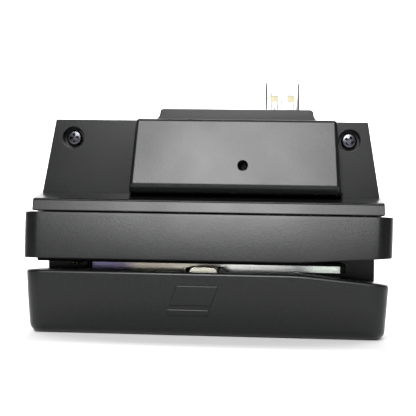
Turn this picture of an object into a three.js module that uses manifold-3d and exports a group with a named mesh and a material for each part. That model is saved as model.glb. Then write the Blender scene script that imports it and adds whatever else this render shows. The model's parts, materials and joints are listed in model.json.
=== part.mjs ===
// Magnetic-stripe card reader module that hangs on the edge of a payment terminal.
// Millimetres. +X runs along the swipe slot, -Y faces the person who swipes, +Z is up.
// The origin is the centre of the footprint, on the plane that the module stands on.
import * as THREE from 'three';
import { mergeVertices } from 'three/addons/utils/BufferGeometryUtils.js';
import Module from 'manifold-3d';

const wasm = await Module();
wasm.setup();

// ---------------------------------------------------------------- driving dimensions
// Overall
const WIDTH = 124.6; // upper wing, the widest piece
const DEPTH = 32; // wing front to body back

// Heights, from the bottom up
const LOWER_WING_HEIGHT = 21.2;
const SLOT_MOUTH = 3.8;
const UPPER_WING_HEIGHT = 15.7;
const BAND_HEIGHT = 4.2;
const RAMP_RISE = 2.5;
const FLANGE_HEIGHT = 25.8;
const TAB_RISE = 3.9;
const PLUG_EXPOSED = 10.6;

// Clearances
const SEAT = 0.05; // between faces that rest on each other
const GAP = 0.3; // between a piece and the cut that holds it
const REACH = 1; // how far a cutting tool runs past the face it opens

// Moulded walls
const WALL = 2;
const SLOT_WALL = 2; // lower wing roof and upper wing floor
const LEDGE = 2.1; // rim that the bottom cover sits in
const FRONT_CORNER = 5.5;
const BACK_CORNER = 3;
const CORNER_STEPS = 4;
const ROUND_STEP = 0.3; // share of a rounded edge at its middle level
const WALL_LEVELS = [0.4, 0.7]; // shares of a wing's height where its curved wall turns

// Wings
const LOWER_WING_INSET = 1.15; // lower wing narrower than the upper one, each side
const LOWER_DRAFT = 1.4;
const LOWER_LEAN = 2.3;
const LOWER_SETBACK = 0.35; // lower wing front behind the upper wing front
const BOTTOM_ROUND = 2.2;
const LIP_ROUND = 0.9;
const UPPER_LIP = 0.45;
const UPPER_DRAFT = 0.5;
const UPPER_LEAN = 1.9;
const UPPER_BOW = 0.35; // share of the lean that gathers towards the top

// Slot
const SLOT_DEPTH = 24.5;
const RAIL_INSET = 4.2; // rail end inside the wing end
const RAIL_BACK_INSET = 0.7;
const FUNNEL_LENGTH = 31; // flared lead-in at the right-hand end
const FUNNEL_DROP = 2.9;
const FUNNEL_RISE = 2;
const LINER_THICKNESS = 0.95;
const LINER_SETBACK = 5;
const LINER_END_GAP = 4.8; // liner start inside the wing end
const STRIP_END_GAP = 15.9; // steel strip end short of each wing end, right
const STRIP_START_GAP = 19.8; // and left
const STRIP_HEIGHT = 2.6;
const STRIP_THICKNESS = 0.4;
const STRIP_HOOK = 1.6;
const STRIP_TURN = 0.6; // run of each hook's slope
const STRIP_TAIL = 2; // hook's end behind the slot floor

// Mount housing
const BAND_INSET = 3.3; // band narrower than the upper wing, each side
const BAND_SETBACK = 2.1; // band foot behind the wing front
const BAND_LEAN = 0.9;
const FLANGE_SETBACK = 14; // flange front behind the wing front
const FLANGE_FOOT_INSET = 3.8;
const FLANGE_TAPER = 4.25;
const FLANGE_THICKNESS = 9; // without the rear plate
const REAR_PLATE = 2;
const REAR_CHAMFER = 1.5;
const BLOCK_FOOT_TOP = 70;
const BLOCK_FOOT_BOTTOM = 74;
const BLOCK_OUT_TOP = 4.9;
const BLOCK_OUT_BOTTOM = 10.5;
const BLOCK_CHAMFER = { out: 2.3, rise: 2.4 };
const BLOCK_DRAFT = 0.15;
const TAB_TOP_WIDTH = 52.9;
const TAB_FLARE = 1.7;
const TAB_OUT = 1.5;
const TAB_CORNER = 1.1;
const TAB_WAIST = { out: 0.66, up: 0.44 }; // where the flared side turns, from the foot's inner end
const TAB_EASE = 0.33; // the corner's control point inside the side

// Fasteners: head radius, head height, shank radius
const FLANGE_SCREW = { head: 2.75, height: 2.1, shank: 1.45, length: 11 };
const BLOCK_SCREW = { head: 1.5, height: 1.3, shank: 0.8, length: 8 };
const STACK_SCREW = { head: 2.6, height: 2, shank: 1.3, length: 36 };
const SMALL_SCREW = { head: 2, height: 1, shank: 0.8, length: 5.5 };
const SCREW_EDGE = 7.3; // flange screw from the flange's side edge
const SCREW_DROP = 6.3; // flange screw below the flange top
const COUNTERBORE = 3.65;
const COUNTERBORE_DEPTH = 3.5;
const BLOCK_HOLE = 1.8;
const BLOCK_SCREW_X = 2.7; // from the block's middle
const BLOCK_SCREW_DROP = 16.1; // below the flange top
const STACK_EDGE = 9.7; // from the wing end
const STACK_BACK = 5.4; // from the body back
const POST_WALL = 1.4;
const PLATE_SCREW_IN = 8; // left plate screw inward of the left flange screw
const PLATE_SCREW_OUT = 2; // right plate screw outward of the right flange screw
const PLATE_SCREW_RISE = 7; // above the flange foot
const RECESS_DEPTH = 1;
// Screw body, as shares of its head or shank
const SCREW_FORM = { crown: 0.7, edge: 0.35, tip: 0.4, arm: 0.55, slot: 0.11, recess: 0.6 };

// USB plug, standard A size
const PLUG_WIDTH = 12;
const PLUG_THICKNESS = 4.5;
const PLUG_LENGTH = 19;
const PLUG_SKIN = 0.4;
const PLUG_CORNER = 0.7;
const PLUG_OFFSET = 15.85; // from the tab's middle
const PLUG_BACK_INSET = 0.1; // plug back inside the housing's back
const PLUG_BASE = 5.5; // insulator's full depth, at the board end
const CONTACT_COUNT = 4;
const TONGUE_THICKNESS = 1.8;
const TONGUE_SHORT = 1.2; // tongue tip inside the shell mouth
const CONTACT_PITCH = 2.25;
const CONTACT_WIDTH = 1.1;
const WINDOW_WIDTH = 2.7;
const WINDOW_HEIGHT = 2.3;
const WINDOW_SPREAD = 5.9;
const WINDOW_DROP = 4.8; // below the plug tip

// Decoder board
const BOARD_WIDTH = 60;
const BOARD_THICKNESS = 1.6;
const BOARD_BEHIND_PLUG = 1.4; // board front behind the plug front
// Components: middle from the board's middle, then size; depth is how far it stands off
const CONNECTOR = { z: -5, width: 9, height: 5, depth: 2.8 };
const CHIP = { x: 14, z: -1, width: 9, height: 9, depth: 1.4 };
const CRYSTAL = { x: 24, z: -4, width: 4.5, height: 10, depth: 3.2 };
const CAPACITOR = { x: -18, z: 5, pitch: 7, radius: 2.2, depth: 4.2, count: 2 };

// Read head
const HEAD_X = -1;
const HEAD_WIDTH = 10.2;
const HEAD_LENGTH = 14;
const HEAD_TOP_FLAT = 6.6;
const HEAD_PROUD = 1.7; // crown above the lower wing's roof
const HEAD_HEIGHT = 8.7;
const HEAD_STRIP_GAP = 1.5; // shroud back in front of the steel strip
const HEAD_CLEAR = 0.5; // room for the head to rock in its shroud
const HEAD_DOME = 2.2; // height of the sloping shoulders
const CORE = { width: 2, depth: 1.5, end: 1.5 }; // end: core short of the can, each end
const TRUNNION = 0.8;
const TRUNNION_DROP = 6.4; // axis below the crown
const SHROUD_WALL = 0.8;
const SHROUD_RAMP = 1.1;
const SHROUD_BELOW_CROWN = 0.2;
const BRACKET_SHEET = 0.8;
const BRACKET_DROP = 1.5; // bracket floor below the can
const CROWN_DROP = 0.1; // edge of the crown's flat below its middle
const SHOULDER = { in: 0.4, drop: 0.35 }; // where the can's shoulder turns
const SPRING_SHEET = 0.3;
const SPRING_BOW = 0.7;
const SPRING_SPAN = 54;
const SPRING_WIDTH = 8;
const SPRING_CREST = 0.3; // share of the half span that is flat under the bracket

// Head cable and the duct it climbs through
const CABLE_WIDTH = 7;
const CABLE_THICKNESS = 0.5;
const DUCT_BACK = 3.7; // duct middle in front of the body back
const DUCT_DEPTH = 2.2;
const CABLE_BEND = 2; // room that each turn of the cable takes

// Card-sensing contacts at the left end of the slot
const PIN_COUNT = 3;
const PIN_START = 13.3; // first pin from the wing end
const PIN_PITCH = 1.3;
const PIN_RADIUS = 0.4;
const PIN_PROUD = 0.8;
const PIN_LENGTH = 3.4;
const PIN_DROP = 1.7; // pin axis below the slot mouth's top
const PIN_CLEAR = 0.1; // between a pin and its bore

// Card-orientation symbol, raised on the lower wing
const SYMBOL = { x: -3.6, top: 16.8, bottom: 10.1, width: 13.9, slant: 2.3, proud: 0.35 };
const SYMBOL_BAR = { top: 8.9, bottom: 6.8, width: 13.8, shift: -1.9 };

// ---------------------------------------------------------------- derived places
const HALF = WIDTH / 2;
const FRONT = -DEPTH / 2;
const BACK = DEPTH / 2;

const SLOT_LOW = LOWER_WING_HEIGHT;
const SLOT_HIGH = SLOT_LOW + SLOT_MOUTH;
const SEAM = SLOT_HIGH + UPPER_WING_HEIGHT;
const BAND_FOOT = SEAM + GAP;
const RAMP_FOOT = BAND_FOOT + BAND_HEIGHT;
const FLANGE_FOOT = RAMP_FOOT + RAMP_RISE;
const FLANGE_TOP = FLANGE_FOOT + FLANGE_HEIGHT;
const TAB_TOP = FLANGE_TOP + TAB_RISE;
const PLUG_TIP = TAB_TOP + PLUG_EXPOSED;

const LOWER_HALF = HALF - LOWER_WING_INSET;
const FUNNEL_START = HALF - FUNNEL_LENGTH;
const RAIL_HALF = HALF - RAIL_INSET;
const SLOT_FLOOR = FRONT + SLOT_DEPTH;
const LINER_UNDER = SLOT_HIGH - SEAT - LINER_THICKNESS;

const BAND_FRONT = FRONT + BAND_SETBACK;
const FLANGE_FRONT = FRONT + FLANGE_SETBACK;
const HOUSING_BACK = FLANGE_FRONT + FLANGE_THICKNESS;
const PLATE_FRONT = HOUSING_BACK + SEAT;
const PLATE_BACK = PLATE_FRONT + REAR_PLATE;
const TAB_FRONT = FLANGE_FRONT - TAB_OUT;

const SCREW_Z = FLANGE_TOP - SCREW_DROP;
const SCREW_X = flangeHalf(SCREW_Z) - SCREW_EDGE;
const BLOCK_X = SCREW_X - COUNTERBORE - GAP - BLOCK_FOOT_TOP / 2;
const BLOCK_SCREW_AT = { x: BLOCK_X + BLOCK_SCREW_X, z: FLANGE_TOP - BLOCK_SCREW_DROP };
const BLOCK_SEAT = FLANGE_FRONT + BLOCK_HOLE;

const PLUG_X = BLOCK_X + PLUG_OFFSET;
const PLUG_FRONT = HOUSING_BACK - PLUG_BACK_INSET - PLUG_THICKNESS;
const PLUG_FOOT = PLUG_TIP - PLUG_LENGTH;
const BOARD_FRONT = PLUG_FRONT + BOARD_BEHIND_PLUG;
const BOARD_BACK = BOARD_FRONT + BOARD_THICKNESS;
const BOARD_TOP = PLUG_FOOT - GAP;
const BOARD_FOOT = FLANGE_FOOT + WALL + GAP;
const BOARD_MIDDLE = (BOARD_FOOT + BOARD_TOP) / 2;

const STACK_X = HALF - STACK_EDGE;
const STACK_Y = BACK - STACK_BACK;
const STACK_TOP = BAND_FOOT + BAND_HEIGHT - RECESS_DEPTH;
const STACK_SEAT = STACK_TOP - STACK_SCREW.length;
const STACK_BOSS = STACK_SCREW.shank + GAP + POST_WALL;
const SMALL_BOSS = SMALL_SCREW.shank + GAP + POST_WALL;

const STRIP_FACE = SLOT_FLOOR - GAP - STRIP_THICKNESS;
const SHROUD_BACK = STRIP_FACE - HEAD_STRIP_GAP;
const HEAD_BACK = SHROUD_BACK - SHROUD_WALL - HEAD_CLEAR;
const HEAD_FRONT = HEAD_BACK - HEAD_LENGTH;
const HEAD_MIDDLE = (HEAD_FRONT + HEAD_BACK) / 2;
const CORE_HALF = HEAD_LENGTH / 2 - CORE.end;
const CROWN = SLOT_LOW + HEAD_PROUD;
const HEAD_FOOT = CROWN - HEAD_HEIGHT;
const TRUNNION_Z = CROWN - TRUNNION_DROP;
const SHROUD_FOOT = TRUNNION_Z + TRUNNION + HEAD_CLEAR;
const SHROUD_TOP = CROWN - SHROUD_BELOW_CROWN;
const SHROUD_HALF = HEAD_WIDTH / 2 + HEAD_CLEAR + SHROUD_WALL;
const SHROUD_FRONT = HEAD_FRONT - HEAD_CLEAR - SHROUD_WALL;
const EAR_FRONT = SHROUD_FRONT - GAP - BRACKET_SHEET;
const EAR_BACK = SHROUD_BACK + GAP + BRACKET_SHEET;
const EAR_TOP = SLOT_LOW - SLOT_WALL - GAP;
const BRACKET_TOP = HEAD_FOOT - BRACKET_DROP;
const BRACKET_FOOT = BRACKET_TOP - BRACKET_SHEET;
const SPRING_TOP = BRACKET_FOOT - GAP;
const SPRING_END = SPRING_TOP - SPRING_BOW;

const DUCT_Y = BACK - DUCT_BACK;
const PIN_Z = SLOT_HIGH - PIN_DROP;
const PIN_X = (index) => PIN_START - HALF + index * PIN_PITCH;

// Half width of the flange at a height: it narrows towards the top.
function flangeHalf(z) {
  return HALF - FLANGE_FOOT_INSET - FLANGE_TAPER * (z - FLANGE_FOOT) / FLANGE_HEIGHT;
}

// Share of the lead-in's flare that is reached at a place along the slot.
function flare(x) {
  return THREE.MathUtils.clamp((x - FUNNEL_START) / FUNNEL_LENGTH, 0, 1);
}

const slotFloorAt = (x) => SLOT_LOW - FUNNEL_DROP * flare(x);
const slotRoofAt = (x) => SLOT_HIGH + FUNNEL_RISE * flare(x);

// ---------------------------------------------------------------- finishes
function finish(color, roughness, metalness) {
  return new THREE.MeshStandardMaterial({ color, roughness, metalness });
}

const CASE_BLACK = finish(0x1b1c1d, 0.55, 0);
const INNER_BLACK = finish(0x101011, 0.6, 0);
const SCREW_BLACK = finish(0x0c0c0e, 0.25, 0.8);
const SCREW_ZINC = finish(0xa9adb0, 0.35, 1);
const NICKEL = finish(0xd8d8d4, 0.2, 1);
const STEEL = finish(0xbfc0be, 0.18, 1);
const GOLD = finish(0xd6a545, 0.25, 1);
const CREAM = finish(0xe9dfb8, 0.5, 0);
const BOARD_GREEN = finish(0x1f5a36, 0.45, 0);
const CHIP_BLACK = finish(0x161616, 0.5, 0);
const CABLE_GREY = finish(0x8d8f90, 0.55, 0);
const MU_METAL = finish(0xcfcbc0, 0.3, 1);

// ---------------------------------------------------------------- solids
function toSolid(geometry) {
  const bare = geometry.clone();
  bare.deleteAttribute('normal');
  bare.deleteAttribute('uv');
  const merged = mergeVertices(bare, 1e-4);
  const vertProperties = new Float32Array(merged.attributes.position.array);
  const triVerts = new Uint32Array(merged.index.array);
  return new wasm.Manifold(new wasm.Mesh({ numProp: 3, vertProperties, triVerts }));
}

function toGeometry(manifold) {
  const mesh = manifold.getMesh();
  const geometry = new THREE.BufferGeometry();
  geometry.setAttribute('position', new THREE.BufferAttribute(mesh.vertProperties, 3));
  geometry.setIndex(new THREE.BufferAttribute(mesh.triVerts, 1));
  geometry.computeVertexNormals();
  return geometry;
}

function join(...geometries) {
  return toGeometry(geometries.map(toSolid).reduce((sum, next) => sum.add(next)));
}

function cut(geometry, ...tools) {
  const start = toSolid(geometry);
  return toGeometry(tools.map(toSolid).reduce((left, tool) => left.subtract(tool), start));
}

function box(x0, x1, y0, y1, z0, z1) {
  const geometry = new THREE.BoxGeometry(x1 - x0, y1 - y0, z1 - z0);
  return geometry.translate((x0 + x1) / 2, (y0 + y1) / 2, (z0 + z1) / 2);
}

function rodZ(x, y, radius, z0, z1, sides = 16) {
  const geometry = new THREE.CylinderGeometry(radius, radius, z1 - z0, sides);
  return geometry.rotateX(Math.PI / 2).translate(x, y, (z0 + z1) / 2);
}

function rodY(x, z, radius, y0, y1, sides = 16) {
  const geometry = new THREE.CylinderGeometry(radius, radius, y1 - y0, sides);
  return geometry.translate(x, (y0 + y1) / 2, z);
}

function extrude(shape, depth) {
  const settings = { depth, bevelEnabled: false, curveSegments: CORNER_STEPS };
  return new THREE.ExtrudeGeometry(shape, settings);
}

// Outline drawn in X and Z, swept along Y.
function extrudeY(shape, y0, y1) {
  return extrude(shape, y1 - y0).rotateX(Math.PI / 2).translate(0, y1, 0);
}

// Outline drawn in Y and Z, swept along X.
function extrudeX(shape, x0, x1) {
  const turn = new THREE.Matrix4().makeBasis(
    new THREE.Vector3(0, 1, 0),
    new THREE.Vector3(0, 0, 1),
    new THREE.Vector3(1, 0, 0),
  );
  return extrude(shape, x1 - x0).applyMatrix4(turn).translate(x0, 0, 0);
}

function polygon(...points) {
  return new THREE.Shape(points.map(([u, v]) => new THREE.Vector2(u, v)));
}

function roundedPlan(x0, x1, y0, y1, frontRadius, backRadius) {
  const plan = new THREE.Shape();
  plan.moveTo(x0 + frontRadius, y0);
  plan.lineTo(x1 - frontRadius, y0);
  plan.absarc(x1 - frontRadius, y0 + frontRadius, frontRadius, -Math.PI / 2, 0);
  plan.lineTo(x1, y1 - backRadius);
  plan.absarc(x1 - backRadius, y1 - backRadius, backRadius, 0, Math.PI / 2);
  plan.lineTo(x0 + backRadius, y1);
  plan.absarc(x0 + backRadius, y1 - backRadius, backRadius, Math.PI / 2, Math.PI);
  plan.lineTo(x0, y0 + frontRadius);
  plan.absarc(x0 + frontRadius, y0 + frontRadius, frontRadius, Math.PI, Math.PI * 1.5);
  return plan;
}

// A moulded body: the plan stacked at the given heights, drawn in at the sides and leaned
// back at the front by amounts that depend on the height.
function moulding(plan, heights, side, lean) {
  const steps = heights.length - 1;
  const settings = { depth: steps, steps, bevelEnabled: false, curveSegments: CORNER_STEPS };
  const geometry = new THREE.ExtrudeGeometry(plan, settings);
  const position = geometry.attributes.position;
  for (let i = 0; i < position.count; i += 1) {
    const z = heights[Math.round(position.getZ(i))];
    const x = position.getX(i);
    const y = position.getY(i);
    position.setXYZ(i, x - Math.sign(x) * side(z), y < 0 ? y + lean(z) : y, z);
  }
  return geometry;
}

// How far a rounded edge draws the wall in, at a distance from the edge's plane.
function roundIn(distance, radius) {
  if (distance >= radius) return 0;
  return radius - Math.sqrt(radius ** 2 - (radius - distance) ** 2);
}

// A strip of sheet or ribbon seen from its edge, following the given points.
function ribbon(points, thickness) {
  const side = (sign) => points.map((point, index) => {
    const before = points[Math.max(index - 1, 0)];
    const after = points[Math.min(index + 1, points.length - 1)];
    const along = after.clone().sub(before).normalize();
    const across = new THREE.Vector2(-along.y, along.x);
    return point.clone().addScaledVector(across, sign * thickness / 2);
  });
  return new THREE.Shape([...side(-1), ...side(1).reverse()]);
}

function smooth(points, steps) {
  return new THREE.SplineCurve(points.map(([u, v]) => new THREE.Vector2(u, v))).getPoints(steps);
}

// A pan-head screw along +Z, its head's underside at z = 0 and its shank above.
function screwBody({ head, height, shank, length }) {
  const edge = height * SCREW_FORM.edge;
  const profile = [
    [0, -height], [head * SCREW_FORM.crown, -height], [head, -height + edge], [head, 0],
    [shank, 0], [shank, length - shank], [shank * SCREW_FORM.tip, length], [0, length],
  ];
  const points = profile.map(([r, z]) => new THREE.Vector2(r, z));
  const body = new THREE.LatheGeometry(points, 16).rotateX(Math.PI / 2);
  const arm = head * SCREW_FORM.arm;
  const slot = head * SCREW_FORM.slot;
  const floor = -height + Math.min(RECESS_DEPTH, height * SCREW_FORM.recess);
  return cut(
    body,
    box(-arm, arm, -slot, slot, -height - REACH, floor),
    box(-slot, slot, -arm, arm, -height - REACH, floor),
  );
}

// ---------------------------------------------------------------- the model
const reader = new THREE.Group();
reader.name = 'card_reader';

function part(name, geometry, material) {
  const mesh = new THREE.Mesh(geometry, material);
  mesh.name = name;
  reader.add(mesh);
  return mesh;
}

// Lead-in wedge taken off the wings, moved by an offset for the hollow behind the wall.
function leadInBelow(offset) {
  const top = SLOT_LOW + REACH;
  const far = HALF + REACH;
  return extrudeY(polygon(
    [FUNNEL_START, SLOT_LOW + offset],
    [HALF, SLOT_LOW - FUNNEL_DROP + offset],
    [far, SLOT_LOW - FUNNEL_DROP + offset],
    [far, top],
    [FUNNEL_START, top],
  ), FRONT - REACH, BACK + REACH);
}

function leadInAbove(offset) {
  const bottom = SLOT_HIGH - REACH;
  const far = HALF + REACH;
  return extrudeY(polygon(
    [FUNNEL_START, bottom],
    [far, bottom],
    [far, SLOT_HIGH + FUNNEL_RISE + offset],
    [HALF, SLOT_HIGH + FUNNEL_RISE + offset],
    [FUNNEL_START, SLOT_HIGH + offset],
  ), FRONT - REACH, BACK + REACH);
}

function cableDuct(z0, z1) {
  const half = CABLE_WIDTH / 2 + GAP;
  return box(HEAD_X - half, HEAD_X + half, DUCT_Y - DUCT_DEPTH / 2, DUCT_Y + DUCT_DEPTH / 2, z0, z1);
}

function mirrored(make) {
  return [make(-1), make(1)];
}

// Lower wing: houses the head, open underneath.
const lowerSide = (z) => LOWER_DRAFT * (1 - z / LOWER_WING_HEIGHT);
const lowerLean = (z) => LOWER_SETBACK + LOWER_LEAN * (1 - z / LOWER_WING_HEIGHT) ** 2;
const COVER_X = STACK_X + WALL;
const COVER_FRONT = FRONT + LOWER_SETBACK + LOWER_LEAN + WALL + BOTTOM_ROUND;
const COVER_BACK = BACK - WALL - BOTTOM_ROUND;
const COVER_SCREW_X = STACK_X - 2 * STACK_SCREW.head - GAP;
const COVER_SCREWS = [
  [-COVER_SCREW_X, COVER_FRONT + SMALL_SCREW.head + GAP],
  [COVER_SCREW_X, COVER_FRONT + SMALL_SCREW.head + GAP],
  [-COVER_SCREW_X, COVER_BACK - SMALL_SCREW.head - GAP],
  [COVER_SCREW_X, COVER_BACK - SMALL_SCREW.head - GAP],
];

function post(x, y, radius, foot) {
  return rodZ(x, y, radius, foot, slotFloorAt(x + radius) - SLOT_WALL / 2);
}

function symbolOutline({ x, top, bottom, width, slant }) {
  const half = width / 2;
  const lean = slant / 2;
  return polygon(
    [x - half - lean, bottom],
    [x + half - lean, bottom],
    [x + half + lean, top],
    [x - half + lean, top],
  );
}

// A flat symbol that stands proud of the lower wing's leaning front.
function raisedSymbol(outline) {
  const geometry = extrudeY(outline, FRONT, FRONT + LOWER_LEAN + WALL / 2);
  const position = geometry.attributes.position;
  for (let i = 0; i < position.count; i += 1) {
    const proud = FRONT + lowerLean(position.getZ(i)) - SYMBOL.proud;
    if (position.getY(i) < FRONT + SEAT) position.setY(i, proud);
  }
  return geometry;
}

function lowerWing() {
  const edge = (z) => roundIn(z, BOTTOM_ROUND) + roundIn(SLOT_LOW - z, LIP_ROUND);
  const levels = WALL_LEVELS.map((share) => SLOT_LOW * share);
  const heights = [
    0, BOTTOM_ROUND * ROUND_STEP, BOTTOM_ROUND, ...levels,
    SLOT_LOW - LIP_ROUND, SLOT_LOW - LIP_ROUND * ROUND_STEP, SLOT_LOW,
  ];
  const outer = moulding(
    roundedPlan(-LOWER_HALF, LOWER_HALF, FRONT, BACK, FRONT_CORNER, BACK_CORNER),
    heights,
    (z) => lowerSide(z) + edge(z),
    (z) => lowerLean(z) + edge(z),
  );
  const hollow = moulding(
    roundedPlan(
      WALL - LOWER_HALF, LOWER_HALF - WALL, FRONT + WALL, BACK - WALL,
      FRONT_CORNER - WALL, BACK_CORNER - WALL,
    ),
    [LEDGE, ...levels, SLOT_LOW - SLOT_WALL],
    lowerSide,
    lowerLean,
  );
  const opening = extrude(
    roundedPlan(-COVER_X, COVER_X, COVER_FRONT, COVER_BACK, WALL, WALL), LEDGE + REACH,
  ).translate(0, 0, -REACH / 2);
  const shell = cut(outer, cut(hollow, leadInBelow(-SLOT_WALL)), opening, leadInBelow(0));

  const posts = [
    ...mirrored((side) => post(side * STACK_X, STACK_Y, STACK_BOSS, STACK_SEAT + GAP)),
    ...COVER_SCREWS.map(([x, y]) => post(x, y, SMALL_BOSS, LEDGE + GAP)),
    ...mirrored((side) => post(
      HEAD_X + side * SPRING_SPAN / 2, HEAD_MIDDLE, SMALL_BOSS, SPRING_END + GAP,
    )),
  ];
  const bar = { ...SYMBOL, ...SYMBOL_BAR, x: SYMBOL.x + SYMBOL_BAR.shift, slant: 0 };
  const solid = join(
    shell, ...posts, raisedSymbol(symbolOutline(SYMBOL)), raisedSymbol(symbolOutline(bar)),
  );
  const windowHalf = SHROUD_HALF + SHROUD_RAMP + GAP * 2;
  return cut(
    solid,
    box(
      HEAD_X - windowHalf, HEAD_X + windowHalf, SHROUD_FRONT - GAP * 2, SHROUD_BACK + GAP * 2,
      SLOT_LOW - SLOT_WALL - REACH, SLOT_LOW + REACH,
    ),
    cableDuct(SLOT_LOW - SLOT_WALL - REACH, SLOT_LOW + REACH),
    ...mirrored((side) => rodZ(
      side * STACK_X, STACK_Y, STACK_SCREW.shank + GAP, STACK_SEAT, SLOT_LOW + REACH,
    )),
    ...COVER_SCREWS.map(([x, y]) => rodZ(x, y, SMALL_SCREW.shank + GAP, LEDGE, LEDGE + SMALL_SCREW.length)),
    ...mirrored((side) => rodZ(
      HEAD_X + side * SPRING_SPAN / 2, HEAD_MIDDLE, SMALL_SCREW.shank + GAP,
      SPRING_END, SPRING_END + SMALL_SCREW.length + GAP,
    )),
  );
}
part('lower_wing', lowerWing(), CASE_BLACK);

// Bottom cover, flush in the lower wing's underside, with its four screws.
function bottomCover() {
  const plate = extrude(
    roundedPlan(
      GAP - COVER_X, COVER_X - GAP, COVER_FRONT + GAP, COVER_BACK - GAP, WALL - GAP, WALL - GAP,
    ), LEDGE,
  );
  const sink = SMALL_SCREW.height + GAP;
  return cut(plate, ...COVER_SCREWS.flatMap(([x, y]) => [
    rodZ(x, y, SMALL_SCREW.head + GAP, -REACH, sink),
    rodZ(x, y, SMALL_SCREW.shank + GAP, -REACH, LEDGE + REACH),
  ]));
}
part('bottom_cover', bottomCover(), CASE_BLACK);
COVER_SCREWS.forEach(([x, y], index) => {
  const screw = part(`cover_screw_${index + 1}`, screwBody(SMALL_SCREW), SCREW_ZINC);
  screw.position.set(x, y, SMALL_SCREW.height + GAP / 2);
});

// Upper wing: the slot's other side, open towards the mount housing.
const upperSide = (z) => UPPER_DRAFT * (SEAM - z) / UPPER_WING_HEIGHT;
const upperLean = (z) => {
  const rise = Math.max(z - SLOT_HIGH - UPPER_LIP, 0) / (UPPER_WING_HEIGHT - UPPER_LIP);
  return UPPER_LEAN * THREE.MathUtils.lerp(rise, rise ** 2, UPPER_BOW);
};

function upperWing() {
  const edge = (z) => roundIn(z - SLOT_HIGH, UPPER_LIP);
  const levels = WALL_LEVELS.map((share) => SLOT_HIGH + UPPER_WING_HEIGHT * share);
  const outer = moulding(
    roundedPlan(-HALF, HALF, FRONT, BACK, FRONT_CORNER, BACK_CORNER),
    [
      SLOT_HIGH, SLOT_HIGH + UPPER_LIP * ROUND_STEP, SLOT_HIGH + UPPER_LIP, ...levels, SEAM,
    ],
    (z) => upperSide(z) + edge(z),
    (z) => upperLean(z) + edge(z),
  );
  const floor = SLOT_HIGH + SLOT_WALL;
  const hollow = moulding(
    roundedPlan(
      BAND_INSET + WALL - HALF, HALF - BAND_INSET - WALL, FRONT + WALL, BACK - WALL,
      FRONT_CORNER - WALL, BACK_CORNER - WALL,
    ),
    [floor, ...levels, SEAM + REACH],
    upperSide,
    upperLean,
  );
  const shell = cut(outer, cut(hollow, leadInAbove(SLOT_WALL)), leadInAbove(0));
  const posts = mirrored((side) => rodZ(
    side * STACK_X, STACK_Y, STACK_BOSS, slotRoofAt(side * STACK_X) + SLOT_WALL / 2, SEAM,
  ));
  return cut(
    join(shell, ...posts),
    cableDuct(SLOT_HIGH - REACH, floor + REACH),
    ...mirrored((side) => rodZ(
      side * STACK_X, STACK_Y, STACK_SCREW.shank + GAP, SLOT_HIGH - REACH, SEAM + REACH,
    )),
  );
}
part('upper_wing', upperWing(), CASE_BLACK);

// Contact pocket in the rail, and the insulating block that fills it.
function contactSpace(clearance) {
  const margin = PIN_PITCH + PIN_RADIUS - clearance;
  return box(
    PIN_X(0) - margin, PIN_X(PIN_COUNT - 1) + margin,
    SLOT_FLOOR - clearance, SLOT_FLOOR + PIN_LENGTH + PIN_PROUD - clearance,
    PIN_Z - PIN_RADIUS * 2.5 + clearance, PIN_Z + PIN_RADIUS * 2.5 - clearance,
  );
}

const STRIP_LEFT = STRIP_START_GAP - HALF;
const STRIP_RIGHT = HALF - STRIP_END_GAP;

function slotRail() {
  const low = (x) => slotFloorAt(x) + SEAT;
  const high = (x) => slotRoofAt(x) - SEAT;
  const block = extrudeY(polygon(
    [-RAIL_HALF, low(-RAIL_HALF)],
    [FUNNEL_START, low(FUNNEL_START)],
    [RAIL_HALF, low(RAIL_HALF)],
    [RAIL_HALF, high(RAIL_HALF)],
    [FUNNEL_START, high(FUNNEL_START)],
    [-RAIL_HALF, high(-RAIL_HALF)],
  ), SLOT_FLOOR, BACK - RAIL_BACK_INSET);
  const hookSlot = (x) => box(
    x - STRIP_HOOK, x + STRIP_HOOK, SLOT_FLOOR - REACH, SLOT_FLOOR + STRIP_HOOK * 2,
    SLOT_LOW, LINER_UNDER + GAP,
  );
  return cut(
    block,
    cableDuct(SLOT_LOW - REACH, SLOT_HIGH + REACH),
    contactSpace(0),
    hookSlot(STRIP_LEFT),
    hookSlot(STRIP_RIGHT),
    ...mirrored((side) => rodZ(
      side * STACK_X, STACK_Y, STACK_SCREW.shank + GAP,
      SLOT_LOW - FUNNEL_DROP - REACH, SLOT_HIGH + FUNNEL_RISE + REACH,
    )),
  );
}
part('slot_rail', slotRail(), INNER_BLACK);

// Liner that narrows the slot behind its flared mouth.
function upperGuide() {
  const top = SLOT_HIGH - SEAT;
  const front = FRONT + LINER_SETBACK;
  const back = SLOT_FLOOR - GAP;
  const profile = polygon(
    [front, top],
    [front + LINER_THICKNESS, LINER_UNDER],
    [back, LINER_UNDER],
    [back, top],
  );
  return extrudeX(profile, LINER_END_GAP - HALF, STRIP_RIGHT + GAP);
}
part('upper_guide', upperGuide(), INNER_BLACK);

// Polished steel strip that the card's edge runs on; its ends hook back into the rail.
function wearStrip() {
  const face = STRIP_FACE + STRIP_THICKNESS / 2;
  const run = [
    [STRIP_LEFT, SLOT_FLOOR + STRIP_TAIL],
    [STRIP_LEFT, SLOT_FLOOR],
    [STRIP_LEFT + STRIP_TURN, face],
    [STRIP_RIGHT - STRIP_TURN, face],
    [STRIP_RIGHT, SLOT_FLOOR],
    [STRIP_RIGHT, SLOT_FLOOR + STRIP_TAIL],
  ].map(([x, y]) => new THREE.Vector2(x, y));
  const bottom = LINER_UNDER - GAP / 3 - STRIP_HEIGHT;
  return extrude(ribbon(run, STRIP_THICKNESS), STRIP_HEIGHT).translate(0, 0, bottom);
}
part('wear_strip', wearStrip(), STEEL);

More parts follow.
